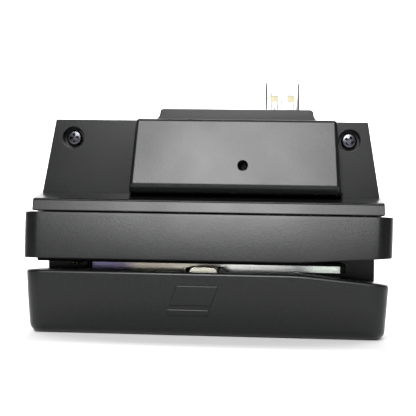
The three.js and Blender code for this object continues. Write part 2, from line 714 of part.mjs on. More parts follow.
// Insulating block with the three sprung contacts that feel the card's edge.
const contactBores = Array.from({ length: PIN_COUNT }, (_, index) => rodY(
  PIN_X(index), PIN_Z, PIN_RADIUS + PIN_CLEAR, SLOT_FLOOR - REACH, SLOT_FLOOR + PIN_LENGTH + GAP, 12,
));
part('contact_block', cut(contactSpace(SEAT), ...contactBores), INNER_BLACK);

function sensePin() {
  const tip = PIN_RADIUS / 2;
  const profile = [
    [0, 0], [tip, PIN_CLEAR / 2], [PIN_RADIUS, PIN_RADIUS], [PIN_RADIUS, PIN_LENGTH], [0, PIN_LENGTH],
  ].map(([r, y]) => new THREE.Vector2(r, y));
  return new THREE.LatheGeometry(profile, 12);
}
for (let index = 0; index < PIN_COUNT; index += 1) {
  const pin = part(`sense_pin_${index + 1}`, sensePin(), GOLD);
  pin.position.set(PIN_X(index), SLOT_FLOOR - PIN_PROUD, PIN_Z);
}

// Mount housing: band, ramp, flange, block and tab in one moulding, open at the back.
function tabOutline(clearance) {
  const half = TAB_TOP_WIDTH / 2 - clearance;
  const corner = TAB_CORNER;
  const top = TAB_TOP - clearance;
  const outline = new THREE.Shape();
  outline.moveTo(BLOCK_X - half - TAB_FLARE, FLANGE_TOP - REACH);
  outline.lineTo(BLOCK_X + half + TAB_FLARE, FLANGE_TOP - REACH);
  outline.lineTo(BLOCK_X + half + TAB_FLARE, FLANGE_TOP);
  outline.quadraticCurveTo(
    BLOCK_X + half + TAB_WAIST.out, FLANGE_TOP + TAB_WAIST.up, BLOCK_X + half, top - corner,
  );
  outline.quadraticCurveTo(BLOCK_X + half - TAB_EASE, top, BLOCK_X + half - corner, top);
  outline.lineTo(BLOCK_X - half + corner, top);
  outline.quadraticCurveTo(BLOCK_X - half + TAB_EASE, top, BLOCK_X - half, top - corner);
  outline.quadraticCurveTo(
    BLOCK_X - half - TAB_WAIST.out, FLANGE_TOP + TAB_WAIST.up,
    BLOCK_X - half - TAB_FLARE, FLANGE_TOP,
  );
  return outline;
}

function flangeOutline(clearance, foot) {
  return polygon(
    [clearance - flangeHalf(foot), foot],
    [flangeHalf(foot) - clearance, foot],
    [flangeHalf(FLANGE_TOP) - clearance, FLANGE_TOP - clearance],
    [clearance - flangeHalf(FLANGE_TOP), FLANGE_TOP - clearance],
  );
}

// The block over the board: its face leans back and its sides are drafted.
function blockBody(wall, back) {
  const profile = polygon(
    [back, FLANGE_FOOT + wall],
    [FLANGE_FRONT, FLANGE_FOOT + wall],
    [FLANGE_FRONT - BLOCK_OUT_BOTTOM + BLOCK_CHAMFER.out + wall, FLANGE_FOOT + wall],
    [FLANGE_FRONT - BLOCK_OUT_BOTTOM + wall, FLANGE_FOOT + BLOCK_CHAMFER.rise + wall],
    [FLANGE_FRONT - BLOCK_OUT_TOP + wall, FLANGE_TOP - wall],
    [back, FLANGE_TOP - wall],
  );
  const geometry = extrudeX(profile, -1, 1);
  const position = geometry.attributes.position;
  for (let i = 0; i < position.count; i += 1) {
    const rise = (position.getZ(i) - FLANGE_FOOT) / FLANGE_HEIGHT;
    const foot = THREE.MathUtils.lerp(BLOCK_FOOT_BOTTOM, BLOCK_FOOT_TOP, rise) / 2;
    const out = Math.max(FLANGE_FRONT - position.getY(i), 0);
    position.setX(i, BLOCK_X + position.getX(i) * (foot - BLOCK_DRAFT * out - wall));
  }
  return geometry;
}

function stepBody() {
  const profile = polygon(
    [BAND_FRONT, BAND_FOOT],
    [BAND_FRONT + BAND_LEAN, RAMP_FOOT],
    [FLANGE_FRONT, FLANGE_FOOT],
    [BACK - REAR_CHAMFER, FLANGE_FOOT],
    [BACK, FLANGE_FOOT - REAR_CHAMFER],
    [BACK, BAND_FOOT],
  );
  return extrudeX(profile, BAND_INSET - HALF, HALF - BAND_INSET);
}

const PLATE_SCREWS = [
  [PLATE_SCREW_IN - SCREW_X, FLANGE_FOOT + PLATE_SCREW_RISE],
  [SCREW_X + PLATE_SCREW_OUT, FLANGE_FOOT + PLATE_SCREW_RISE],
];

function mountHousing() {
  const body = join(
    stepBody(),
    extrudeY(flangeOutline(0, FLANGE_FOOT - REACH), FLANGE_FRONT, HOUSING_BACK),
    blockBody(0, HOUSING_BACK),
    extrudeY(tabOutline(0), TAB_FRONT, HOUSING_BACK),
  );
  const pocketEdge = BLOCK_X - BLOCK_FOOT_BOTTOM / 2 - WALL / 2;
  const flangePocket = cut(
    box(
      WALL * 2 - flangeHalf(FLANGE_TOP), pocketEdge, FLANGE_FRONT + WALL, HOUSING_BACK + REACH,
      FLANGE_FOOT + WALL, FLANGE_TOP - WALL,
    ),
    rodY(-SCREW_X, SCREW_Z, COUNTERBORE + POST_WALL, FLANGE_FRONT, HOUSING_BACK + REACH * 2),
    rodY(PLATE_SCREWS[0][0], PLATE_SCREWS[0][1], SMALL_BOSS, FLANGE_FRONT, HOUSING_BACK + REACH * 2),
  );
  const footHollow = (x0, x1) => box(
    x0, x1, BAND_FRONT + BAND_LEAN + WALL, STACK_Y - STACK_BOSS, BAND_FOOT - REACH,
    RAMP_FOOT - WALL / 2,
  );
  const ductHalf = CABLE_WIDTH / 2 + WALL * 2;
  const tabHalf = TAB_TOP_WIDTH / 2 - WALL;
  const hollow = cut(
    join(
      blockBody(WALL, HOUSING_BACK + REACH),
      box(
        HEAD_X - ductHalf, HEAD_X + ductHalf, FLANGE_FRONT, BACK - WALL,
        BAND_FOOT - REACH, RAMP_FOOT + GAP,
      ),
      box(
        HEAD_X - ductHalf, HEAD_X + ductHalf, FLANGE_FRONT, HOUSING_BACK - SEAT,
        RAMP_FOOT, FLANGE_FOOT + WALL + REACH,
      ),
      box(
        BLOCK_X - tabHalf, BLOCK_X + tabHalf, TAB_FRONT + WALL * 1.5, HOUSING_BACK + REACH,
        FLANGE_TOP - WALL - REACH, TAB_TOP - WALL,
      ),
    ),
    rodY(BLOCK_SCREW_AT.x, BLOCK_SCREW_AT.z, BLOCK_HOLE + POST_WALL, FRONT, BOARD_FRONT - GAP),
  );
  const plugHalf = PLUG_WIDTH / 2 + GAP;
  return cut(
    body,
    hollow,
    flangePocket,
    footHollow(BAND_INSET + WALL - HALF, HEAD_X - ductHalf - WALL),
    footHollow(HEAD_X + ductHalf + WALL, HALF - BAND_INSET - WALL),
    box(
      PLUG_X - plugHalf, PLUG_X + plugHalf, PLUG_FRONT - GAP, HOUSING_BACK + REACH,
      FLANGE_TOP - WALL - REACH, TAB_TOP + REACH,
    ),
    ...mirrored((side) => rodY(
      side * SCREW_X, SCREW_Z, COUNTERBORE, FLANGE_FRONT - REACH, FLANGE_FRONT + COUNTERBORE_DEPTH, 28,
    )),
    ...mirrored((side) => rodY(
      side * SCREW_X, SCREW_Z, FLANGE_SCREW.shank + GAP, FLANGE_FRONT, HOUSING_BACK + REACH,
    )),
    rodY(BLOCK_SCREW_AT.x, BLOCK_SCREW_AT.z, BLOCK_HOLE, FRONT, BLOCK_SEAT, 20),
    rodY(BLOCK_SCREW_AT.x, BLOCK_SCREW_AT.z, BLOCK_SCREW.shank + GAP, FRONT, BOARD_FRONT),
    ...PLATE_SCREWS.map(([x, z]) => rodY(
      x, z, SMALL_SCREW.shank + GAP, HOUSING_BACK - SMALL_SCREW.length, HOUSING_BACK + REACH,
    )),
    ...mirrored((side) => rodZ(
      side * STACK_X, STACK_Y, STACK_SCREW.shank + GAP, BAND_FOOT - REACH, STACK_TOP + GAP,
    )),
  );
}
part('mount_housing', mountHousing(), CASE_BLACK);

// Rear plate: closes the housing and is the face that lies on the terminal.
function rearPlate() {
  const foot = FLANGE_FOOT + GAP;
  const plate = join(
    extrudeY(flangeOutline(0, foot), PLATE_FRONT, PLATE_BACK),
    extrudeY(tabOutline(0), PLATE_FRONT, PLATE_BACK),
    rodY(BLOCK_SCREW_AT.x, BLOCK_SCREW_AT.z, SMALL_BOSS, BOARD_BACK + GAP, PLATE_BACK),
  );
  const tip = PLATE_BACK - GAP;
  return cut(
    plate,
    ...mirrored((side) => rodY(
      side * SCREW_X, SCREW_Z, FLANGE_SCREW.shank + GAP, PLATE_FRONT - REACH, PLATE_BACK + REACH,
    )),
    rodY(BLOCK_SCREW_AT.x, BLOCK_SCREW_AT.z, BLOCK_SCREW.shank + GAP, BOARD_BACK, tip),
    ...PLATE_SCREWS.flatMap(([x, z]) => [
      rodY(x, z, SMALL_SCREW.shank + GAP, PLATE_FRONT - REACH, PLATE_BACK + REACH),
      rodY(x, z, SMALL_SCREW.head + GAP, PLATE_BACK - SMALL_SCREW.height - GAP, PLATE_BACK + REACH),
    ]),
  );
}
part('rear_plate', rearPlate(), CASE_BLACK);
PLATE_SCREWS.forEach(([x, z], index) => {
  const screw = part(`plate_screw_${index + 1}`, screwBody(SMALL_SCREW), SCREW_ZINC);
  screw.position.set(x, PLATE_BACK - SMALL_SCREW.height - GAP / 2, z);
  screw.rotation.x = Math.PI / 2;
});

// Screws driven from the front: two that hold the module on, one through the block.
mirrored((side) => side).forEach((side) => {
  const name = side < 0 ? 'flange_screw_left' : 'flange_screw_right';
  const screw = part(name, screwBody(FLANGE_SCREW), SCREW_BLACK);
  screw.position.set(side * SCREW_X, FLANGE_FRONT + COUNTERBORE_DEPTH - SEAT, SCREW_Z);
  screw.rotation.x = -Math.PI / 2;
});
const blockScrew = part('block_screw', screwBody(BLOCK_SCREW), SCREW_BLACK);
blockScrew.position.set(BLOCK_SCREW_AT.x, BLOCK_SEAT - SEAT, BLOCK_SCREW_AT.z);
blockScrew.rotation.x = -Math.PI / 2;

// Two long screws clamp lower wing, rail, upper wing and housing together.
mirrored((side) => side).forEach((side) => {
  const name = side < 0 ? 'stack_screw_left' : 'stack_screw_right';
  const screw = part(name, screwBody(STACK_SCREW), SCREW_ZINC);
  screw.position.set(side * STACK_X, STACK_Y, STACK_SEAT);
});

// USB plug: folded metal shell, insulator with its tongue, four contact blades.
function plugOutline(inset) {
  const half = PLUG_WIDTH / 2 - inset;
  const radius = PLUG_CORNER - inset;
  return roundedPlan(
    PLUG_X - half, PLUG_X + half, PLUG_FRONT + inset, PLUG_FRONT + PLUG_THICKNESS - inset,
    radius, radius,
  );
}

function usbShell() {
  const tube = extrude(plugOutline(0), PLUG_LENGTH).translate(0, 0, PLUG_FOOT);
  const bore = extrude(plugOutline(PLUG_SKIN), PLUG_LENGTH + REACH * 2);
  const windowAt = (side) => {
    const x = PLUG_X + side * WINDOW_SPREAD / 2;
    const top = PLUG_TIP - WINDOW_DROP;
    return box(
      x - WINDOW_WIDTH / 2, x + WINDOW_WIDTH / 2, PLUG_FRONT - REACH,
      PLUG_FRONT + PLUG_THICKNESS + REACH, top - WINDOW_HEIGHT, top,
    );
  };
  return cut(tube, bore.translate(0, 0, PLUG_FOOT - REACH), ...mirrored(windowAt));
}
part('usb_shell', usbShell(), NICKEL);

const TONGUE_FRONT = PLUG_FRONT + PLUG_SKIN + SEAT;
const TONGUE_BACK = TONGUE_FRONT + TONGUE_THICKNESS;
const TONGUE_HALF = PLUG_WIDTH / 2 - PLUG_SKIN - GAP;

function usbInsulator() {
  const back = PLUG_FRONT + PLUG_THICKNESS - PLUG_SKIN - SEAT;
  return join(
    box(
      PLUG_X - TONGUE_HALF, PLUG_X + TONGUE_HALF, TONGUE_FRONT, back,
      PLUG_FOOT, PLUG_FOOT + PLUG_BASE,
    ),
    box(
      PLUG_X - TONGUE_HALF, PLUG_X + TONGUE_HALF, TONGUE_FRONT, TONGUE_BACK,
      PLUG_FOOT + PLUG_BASE - REACH, PLUG_TIP - TONGUE_SHORT,
    ),
  );
}
part('usb_insulator', usbInsulator(), CREAM);

for (let index = 0; index < CONTACT_COUNT; index += 1) {
  const x = PLUG_X + (index - (CONTACT_COUNT - 1) / 2) * CONTACT_PITCH;
  part(`usb_contact_${index + 1}`, box(
    x - CONTACT_WIDTH / 2, x + CONTACT_WIDTH / 2, TONGUE_BACK + SEAT, TONGUE_BACK + SEAT + GAP,
    PLUG_FOOT + PLUG_BASE + GAP, PLUG_TIP - TONGUE_SHORT * 2,
  ), GOLD);
}

// Decoder board with its chip, crystal, capacitors and the head's connector.
function decoderBoard() {
  const half = BOARD_WIDTH / 2;
  return cut(
    box(BLOCK_X - half, BLOCK_X + half, BOARD_FRONT, BOARD_BACK, BOARD_FOOT, BOARD_TOP),
    rodY(
      BLOCK_SCREW_AT.x, BLOCK_SCREW_AT.z, BLOCK_SCREW.shank + GAP * 2,
      BOARD_FRONT - REACH, BOARD_BACK + REACH,
    ),
  );
}
part('decoder_board', decoderBoard(), BOARD_GREEN);

// A component on the board's front, at a place along the board.
function onBoard(x, { z, width, height, depth }) {
  const middle = BOARD_MIDDLE + z;
  return box(
    x - width / 2, x + width / 2, BOARD_FRONT - SEAT - depth, BOARD_FRONT - SEAT,
    middle - height / 2, middle + height / 2,
  );
}
part('decoder_chip', onBoard(BLOCK_X + CHIP.x, CHIP), CHIP_BLACK);
part('crystal', onBoard(BLOCK_X + CRYSTAL.x, CRYSTAL), NICKEL);
part('head_connector', onBoard(HEAD_X, CONNECTOR), CREAM);
for (let index = 0; index < CAPACITOR.count; index += 1) {
  part(`capacitor_${index + 1}`, rodY(
    BLOCK_X + CAPACITOR.x + index * CAPACITOR.pitch, BOARD_MIDDLE + CAPACITOR.z, CAPACITOR.radius,
    BOARD_FRONT - SEAT - CAPACITOR.depth, BOARD_FRONT - SEAT,
  ), CHIP_BLACK);
}

// Flat cable from the head, back to the duct, up past the slot and onto the connector.
function headCable() {
  const plugIn = BOARD_FRONT - SEAT - CONNECTOR.depth / 2;
  const foot = BOARD_MIDDLE + CONNECTOR.z - CONNECTOR.height / 2 - GAP;
  const start = HEAD_FOOT - GAP * 2;
  const route = smooth([
    [HEAD_BACK - CABLE_BEND, start],
    [EAR_BACK, start],
    [DUCT_Y, SLOT_LOW - SLOT_WALL - GAP * 2],
    [DUCT_Y, SLOT_HIGH + SLOT_WALL],
    [DUCT_Y, SEAM - CABLE_BEND * 2],
    [DUCT_Y - CABLE_BEND * 1.5, SEAM],
    [plugIn + CABLE_BEND / 2, RAMP_FOOT - CABLE_BEND],
    [plugIn, RAMP_FOOT],
    [plugIn, foot],
  ], 40);
  return extrudeX(
    ribbon(route, CABLE_THICKNESS), HEAD_X - CABLE_WIDTH / 2, HEAD_X + CABLE_WIDTH / 2,
  );
}
part('head_cable', headCable(), CABLE_GREY);

// Read head: a shielded can with sloping shoulders, rocking on two trunnions.
function headProfile() {
  const half = HEAD_WIDTH / 2;
  const flat = HEAD_TOP_FLAT / 2;
  const outline = new THREE.Shape();
  outline.moveTo(HEAD_X - half, HEAD_FOOT);
  outline.lineTo(HEAD_X + half, HEAD_FOOT);
  outline.lineTo(HEAD_X + half, CROWN - HEAD_DOME);
  outline.quadraticCurveTo(
    HEAD_X + half - SHOULDER.in, CROWN - SHOULDER.drop, HEAD_X + flat, CROWN - CROWN_DROP,
  );
  outline.lineTo(HEAD_X, CROWN);
  outline.lineTo(HEAD_X - flat, CROWN - CROWN_DROP);
  outline.quadraticCurveTo(
    HEAD_X - half + SHOULDER.in, CROWN - SHOULDER.drop, HEAD_X - half, CROWN - HEAD_DOME,
  );
  return outline;
}


function headCan() {
  const can = extrudeY(headProfile(), HEAD_FRONT, HEAD_BACK);
  const pins = rodY(
    HEAD_X, TRUNNION_Z, TRUNNION, EAR_FRONT + SEAT, EAR_BACK - SEAT, 14,
  );
  const pocket = box(
    HEAD_X - CORE.width / 2 - GAP, HEAD_X + CORE.width / 2 + GAP,
    HEAD_MIDDLE - CORE_HALF - GAP, HEAD_MIDDLE + CORE_HALF + GAP,
    CROWN - CORE.depth, CROWN + REACH,
  );
  return cut(join(can, pins), pocket);
}
part('head_can', headCan(), MU_METAL);

part('head_core', box(
  HEAD_X - CORE.width / 2, HEAD_X + CORE.width / 2,
  HEAD_MIDDLE - CORE_HALF, HEAD_MIDDLE + CORE_HALF,
  CROWN - CORE.depth + SEAT, CROWN - SEAT,
), STEEL);

// Shroud with a ramp on each side, so a card's corner climbs onto the head.
function headShroud() {
  const shoulder = SLOT_LOW - SLOT_WALL / 4;
  const outer = extrudeY(polygon(
    [HEAD_X - SHROUD_HALF, SHROUD_FOOT],
    [HEAD_X + SHROUD_HALF, SHROUD_FOOT],
    [HEAD_X + SHROUD_HALF + SHROUD_RAMP, shoulder],
    [HEAD_X + SHROUD_HALF - SHROUD_WALL, SHROUD_TOP],
    [HEAD_X - SHROUD_HALF + SHROUD_WALL, SHROUD_TOP],
    [HEAD_X - SHROUD_HALF - SHROUD_RAMP, shoulder],
  ), SHROUD_FRONT, SHROUD_BACK);
  const half = HEAD_WIDTH / 2 + HEAD_CLEAR;
  const room = box(
    HEAD_X - half, HEAD_X + half, HEAD_FRONT - HEAD_CLEAR, HEAD_BACK + HEAD_CLEAR,
    SHROUD_FOOT - REACH, SHROUD_TOP + REACH,
  );
  const frontLow = box(
    HEAD_X - half, HEAD_X + half, SHROUD_FRONT - REACH, HEAD_FRONT,
    SLOT_LOW - SLOT_WALL / 4, SHROUD_TOP + REACH,
  );
  return cut(outer, room, frontLow);
}
part('head_shroud', headShroud(), INNER_BLACK);

// Bracket: sheet-metal stirrup that carries the trunnions on the leaf spring.
function headBracket() {
  const half = HEAD_WIDTH / 2 + HEAD_CLEAR;
  const stirrup = extrudeX(polygon(
    [EAR_FRONT, BRACKET_FOOT],
    [EAR_BACK, BRACKET_FOOT],
    [EAR_BACK, EAR_TOP],
    [EAR_BACK - BRACKET_SHEET, EAR_TOP],
    [EAR_BACK - BRACKET_SHEET, BRACKET_TOP],
    [EAR_FRONT + BRACKET_SHEET, BRACKET_TOP],
    [EAR_FRONT + BRACKET_SHEET, EAR_TOP],
    [EAR_FRONT, EAR_TOP],
  ), HEAD_X - half, HEAD_X + half);
  const cableHalf = CABLE_WIDTH / 2 + GAP;
  return cut(
    stirrup,
    rodY(HEAD_X, TRUNNION_Z, TRUNNION + GAP, EAR_FRONT - REACH, EAR_BACK + REACH, 14),
    box(
      HEAD_X - cableHalf, HEAD_X + cableHalf, HEAD_BACK, EAR_BACK + REACH,
      BRACKET_TOP, HEAD_FOOT + GAP,
    ),
  );
}
part('head_bracket', headBracket(), STEEL);

// Leaf spring under the bracket, screwed to a post at each end.
function leafSpring() {
  const half = SPRING_SPAN / 2;
  const low = SPRING_END - SPRING_SHEET / 2;
  const high = SPRING_TOP - SPRING_SHEET / 2;
  const tail = SMALL_SCREW.head + REACH;
  const run = [
    [HEAD_X - half - tail, low], [HEAD_X - half + tail, low], [HEAD_X - half * SPRING_CREST, high],
    [HEAD_X + half * SPRING_CREST, high], [HEAD_X + half - tail, low], [HEAD_X + half + tail, low],
  ].map(([x, z]) => new THREE.Vector2(x, z));
  const leaf = extrudeY(
    ribbon(run, SPRING_SHEET), HEAD_MIDDLE - SPRING_WIDTH / 2, HEAD_MIDDLE + SPRING_WIDTH / 2,
  );
  return cut(leaf, ...mirrored((side) => rodZ(
    HEAD_X + side * half, HEAD_MIDDLE, SMALL_SCREW.shank + GAP, low - REACH, low + REACH,
  )));
}
part('leaf_spring', leafSpring(), STEEL);
mirrored((side) => side).forEach((side) => {
  const name = side < 0 ? 'spring_screw_left' : 'spring_screw_right';
  const screw = part(name, screwBody(SMALL_SCREW), SCREW_ZINC);
  const seat = SPRING_END - SPRING_SHEET - GAP;
  screw.position.set(HEAD_X + side * SPRING_SPAN / 2, HEAD_MIDDLE, seat);
});

export default reader;
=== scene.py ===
"""Looks for the card swipe reader module: fine shells, fasteners, plug and slot on its frame.

Lengths in this script are millimetres in the frame's own axes; meshes are scaled to metres
when they are made. The wings, the housing, the plug and the fasteners are rebuilt here with
their rounded edges, and the small hidden pieces keep their CAD solids with a better finish.
"""

import json
import math

import bmesh
import bpy
from mathutils import Matrix, Vector


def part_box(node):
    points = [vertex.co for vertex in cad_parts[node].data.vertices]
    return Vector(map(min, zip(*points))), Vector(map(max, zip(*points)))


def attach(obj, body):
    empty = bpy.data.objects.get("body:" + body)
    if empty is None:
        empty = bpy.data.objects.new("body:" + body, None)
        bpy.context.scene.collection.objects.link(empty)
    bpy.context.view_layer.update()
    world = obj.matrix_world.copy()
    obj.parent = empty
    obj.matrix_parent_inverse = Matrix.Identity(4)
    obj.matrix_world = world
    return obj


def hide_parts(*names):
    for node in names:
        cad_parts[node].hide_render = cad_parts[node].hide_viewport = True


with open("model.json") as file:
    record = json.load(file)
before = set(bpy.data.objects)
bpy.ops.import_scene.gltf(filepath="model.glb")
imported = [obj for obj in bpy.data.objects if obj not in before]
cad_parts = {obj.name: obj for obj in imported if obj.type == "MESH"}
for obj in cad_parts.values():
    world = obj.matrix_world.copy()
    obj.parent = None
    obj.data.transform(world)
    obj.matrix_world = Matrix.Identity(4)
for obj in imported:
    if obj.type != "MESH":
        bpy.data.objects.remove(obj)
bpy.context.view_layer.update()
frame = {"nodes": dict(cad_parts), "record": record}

MM = 0.001
BODY_OF = {
    node: body
    for body, nodes in frame["record"]["behaviour"]["bodies"].items()
    for node in nodes
}
SLOT_OF = {row["node"]: row["material_slot"] for row in frame["record"]["subparts"]}

# ---------------------------------------------------------------- sizes that the frame doesn't hold
FRONT_CORNER = 5.5
BACK_CORNER = 3.0
WALL = 2.0
LOWER_DRAFT = 1.4
LOWER_LEAN = 2.3
BOTTOM_ROUND = 2.8
LIP_ROUND = 1.0
UPPER_LIP = 0.45
UPPER_DRAFT = 0.5
UPPER_LEAN = 1.9
UPPER_BOW = 0.35
SEAM_ROUND = 0.35
FUNNEL_LENGTH = 31.0
FUNNEL_DROP = 2.9
FUNNEL_RISE = 2.0
EASE = 6.0
EPS = 0.01
REACH = 1.0  # how far a cutting tool passes a face


def span(node):
    """Lowest and highest corner of a CAD node, in millimetres."""
    low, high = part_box(node)
    return low / MM, high / MM


LOWER_LO, LOWER_HI = span("lower_wing")
UPPER_LO, UPPER_HI = span("upper_wing")
HOUSE_LO, HOUSE_HI = span("mount_housing")
PLATE_LO, PLATE_HI = span("rear_plate")
SHELL_LO, SHELL_HI = span("usb_shell")
SHROUD_LO, SHROUD_HI = span("head_shroud")
HALF = UPPER_HI.x
FRONT = UPPER_LO.y
BACK = UPPER_HI.y


# ---------------------------------------------------------------- mesh helpers
def new_object(name, mesh):
    piece = bpy.data.objects.new(name, mesh)
    bpy.context.scene.collection.objects.link(piece)
    return piece


def mesh_object(name, vertices, faces):
    """A mesh object from points in millimetres."""
    mesh = bpy.data.meshes.new(name)
    mesh.from_pydata([Vector(v) * MM for v in vertices], [], faces)
    edit = bmesh.new()
    edit.from_mesh(mesh)
    bmesh.ops.remove_doubles(edit, verts=edit.verts, dist=WELD)
    bmesh.ops.recalc_face_normals(edit, faces=edit.faces)
    edit.to_mesh(mesh)
    edit.free()
    return new_object(name, mesh)


def apply_modifier(piece, kind, **settings):
    modifier = piece.modifiers.new(kind.lower(), kind)
    for key, value in settings.items():
        setattr(modifier, key, value)
    with bpy.context.temp_override(object=piece, active_object=piece, selected_objects=[piece]):
        bpy.ops.object.modifier_apply(modifier=modifier.name)
    return piece


WELD = 1e-7
BEVEL_ANGLE = 28
SHARP_ANGLE = 35


def bevelled(piece, width, segments=4, angle=BEVEL_ANGLE):
    """Rounds every edge sharper than an angle, in degrees; width in millimetres."""
    return apply_modifier(
        piece, "BEVEL", width=width * MM, segments=segments, limit_method="ANGLE",
        angle_limit=math.radians(angle), use_clamp_overlap=True, harden_normals=False,
    )


def combine(piece, tools, operation):
    for tool in tools:
        apply_modifier(piece, "BOOLEAN", object=tool, operation=operation, solver="MANIFOLD")
        bpy.data.objects.remove(tool)
    return piece


def cut(piece, *tools):
    return combine(piece, tools, "DIFFERENCE")


def join(piece, *tools):
    return combine(piece, tools, "UNION")


def finish_shading(piece, angle=SHARP_ANGLE, weighted=True):
    """Smooth shading that breaks at edges sharper than an angle, with flat faces kept flat."""
    piece.data.shade_smooth()
    piece.data.set_sharp_from_angle(angle=math.radians(angle))
    if weighted:
        apply_modifier(piece, "WEIGHTED_NORMAL", keep_sharp=True, weight=80)
    return piece


def prism(name, outline, axis, low, high):
    """A closed prism: an outline of two coordinates swept along the third axis."""
    place = {
        "X": lambda u, v, w: (w, u, v),
        "Y": lambda u, v, w: (u, w, v),
        "Z": lambda u, v, w: (u, v, w),
    }[axis]
    count = len(outline)
    vertices = [place(u, v, w) for w in (low, high) for u, v in outline]
    faces = [tuple(range(count)), tuple(range(2 * count - 1, count - 1, -1))]
    for i in range(count):
        j = (i + 1) % count
        faces.append((i, j, j + count, i + count))
    return mesh_object(name, vertices, faces)


def box(name, x0, x1, y0, y1, z0, z1):
    return prism(name, [(x0, y0), (x1, y0), (x1, y1), (x0, y1)], "Z", z0, z1)


def lathe(name, profile, sides, at=(0, 0, 0), axis="Z"):
    """A closed solid turned from (radius, height) points that start and end on the axis."""
    vertices = []
    faces = []
    inner = profile[1:-1]
    for radius, height in inner:
        for step in range(sides):
            turn = math.tau * step / sides
            vertices.append((radius * math.cos(turn), radius * math.sin(turn), height))
    start = len(vertices)
    vertices.append((0, 0, profile[0][1]))
    vertices.append((0, 0, profile[-1][1]))
    for ring in range(len(inner) - 1):
        for step in range(sides):
            after = (step + 1) % sides
            a, b = ring * sides + step, ring * sides + after
            faces.append((a, b, b + sides, a + sides))
    last = (len(inner) - 1) * sides
    for step in range(sides):
        after = (step + 1) % sides
        faces.append((start, after, step))
        faces.append((start + 1, last + step, last + after))
    piece = mesh_object(name, vertices, faces)
    if axis == "Y":
        piece.data.transform(Matrix.Rotation(-math.pi / 2, 4, "X"))
    piece.data.transform(Matrix.Translation(Vector(at) * MM))
    return piece


def rod(name, radius, low, high, at, axis, sides=48):
    """A round cutting tool between two places along its axis."""
    profile = [(0, low), (radius, low), (radius, high), (0, high)]
    return lathe(name, profile, sides, at, axis)


def arc(cx, cy, radius, start, end, steps):
    """Points on an arc, angles in degrees."""
    return [
        (
            cx + radius * math.cos(math.radians(start + (end - start) * i / steps)),
            cy + radius * math.sin(math.radians(start + (end - start) * i / steps)),
        )
        for i in range(steps + 1)
    ]


def rounded_outline(x0, x1, y0, y1, radius, steps=8):
    r = radius
    return (
        arc(x0 + r, y0 + r, r, 180, 270, steps)
        + arc(x1 - r, y0 + r, r, 270, 360, steps)
        + arc(x1 - r, y1 - r, r, 0, 90, steps)
        + arc(x0 + r, y1 - r, r, 90, 180, steps)
    )


def smoothstep(value):
    t = min(max(value, 0.0), 1.0)
    return t * t * (3 - 2 * t)


# ---------------------------------------------------------------- the wings
EDGE_POINTS = 72
CORNER_POINTS = 12
SIDE_POINTS = 4
WALL_STEPS = 12
TIGHTEST_CORNER = 0.15


def half_outline(half, y_edge, y_middle, radius):
    """One side of a wing's plan, from the left middle round the edge to the right middle."""
    inward = 1 if y_edge < y_middle else -1
    r = max(radius, TIGHTEST_CORNER)
    corner_y = y_edge + inward * r
    points = []
    for i in range(SIDE_POINTS):
        points.append((-half, y_middle + (corner_y - y_middle) * i / SIDE_POINTS))
    for i in range(CORNER_POINTS + 1):
        turn = math.pi / 2 * i / CORNER_POINTS
        points.append((-half + r - r * math.cos(turn), corner_y - inward * r * math.sin(turn)))
    for i in range(1, EDGE_POINTS):
        points.append((-half + r + (2 * half - 2 * r) * i / EDGE_POINTS, y_edge))
    for i in range(CORNER_POINTS + 1):
        turn = math.pi / 2 * i / CORNER_POINTS
        points.append((half - r + r * math.sin(turn), corner_y - inward * r * math.cos(turn)))
    for i in range(1, SIDE_POINTS + 1):
        points.append((half, corner_y + (y_middle - corner_y) * i / SIDE_POINTS))
    return points


def wing_solid(name, rings, half, front, back, front_radius, back_radius, side, lean):
    """A closed wing: rings of (height function, inset) from the bottom up.

    The first and last rings are closed with strips that run from the front to the back.
    """
    middle = (front + back) / 2
    vertices = []
    for height, inset in rings:
        near = half_outline(half - inset, front + inset, middle, front_radius - inset)
        far = half_outline(half - inset, back - inset, middle, back_radius - inset)
        for x, y in near + far[-2:0:-1]:
            z = height(x)
            shifted = y + lean(z) * smoothstep((middle - y) / (middle - front) * 2)
            vertices.append((x - math.copysign(side(z), x) * min(abs(x) / half * 2, 1), shifted, z))
    count = len(vertices) // len(rings)
    across = len(half_outline(half, front, middle, front_radius))
    faces = []
    for ring in range(len(rings) - 1):
        for i in range(count):
            j = (i + 1) % count
            a, b = ring * count + i, ring * count + j
            faces.append((a, b, b + count, a + count))
    for base, flip in ((0, True), ((len(rings) - 1) * count, False)):
        for i in range(across - 1):
            near_a, near_b = base + i, base + i + 1
            far_a = base + (count - i) % count
            far_b = base + (count - i - 1) % count
            strip = [near_a, near_b, far_b, far_a]
            loop = list(dict.fromkeys(strip))
            faces.append(tuple(reversed(loop)) if flip else tuple(loop))
    return mesh_object(name, vertices, faces)


def flare(x):
    """Share of the lead-in's flare at a place along the slot, eased in where it starts."""
    start = HALF - FUNNEL_LENGTH
    t = (x - start) / FUNNEL_LENGTH
    ease = EASE / FUNNEL_LENGTH
    if t <= -ease:
        return 0.0
    if t < ease:
        return (t + ease) ** 2 / (4 * ease)
    return t


def lower_top(x):
    return LOWER_HI.z - FUNNEL_DROP * flare(x)


def upper_bottom(x):
    return UPPER_LO.z + FUNNEL_RISE * flare(x)


def lower_side(z):
    return LOWER_DRAFT * (1 - z / LOWER_HI.z)


def lower_lean(z):
    return LOWER_LEAN * (1 - z / LOWER_HI.z) ** 2


def upper_side(z):
    return UPPER_DRAFT * (UPPER_HI.z - z) / (UPPER_HI.z - UPPER_LO.z)


def upper_lean(z):
    rise = max((z - UPPER_LO.z - UPPER_LIP) / (UPPER_HI.z - UPPER_LO.z), 0)
    return UPPER_LEAN * (rise + (rise ** 2 - rise) * UPPER_BOW)


def blend_height(low, high, share):
    return lambda x: low(x) + (high(x) - low(x)) * share


def offset_height(base, distance):
    return lambda x: base(x) + distance


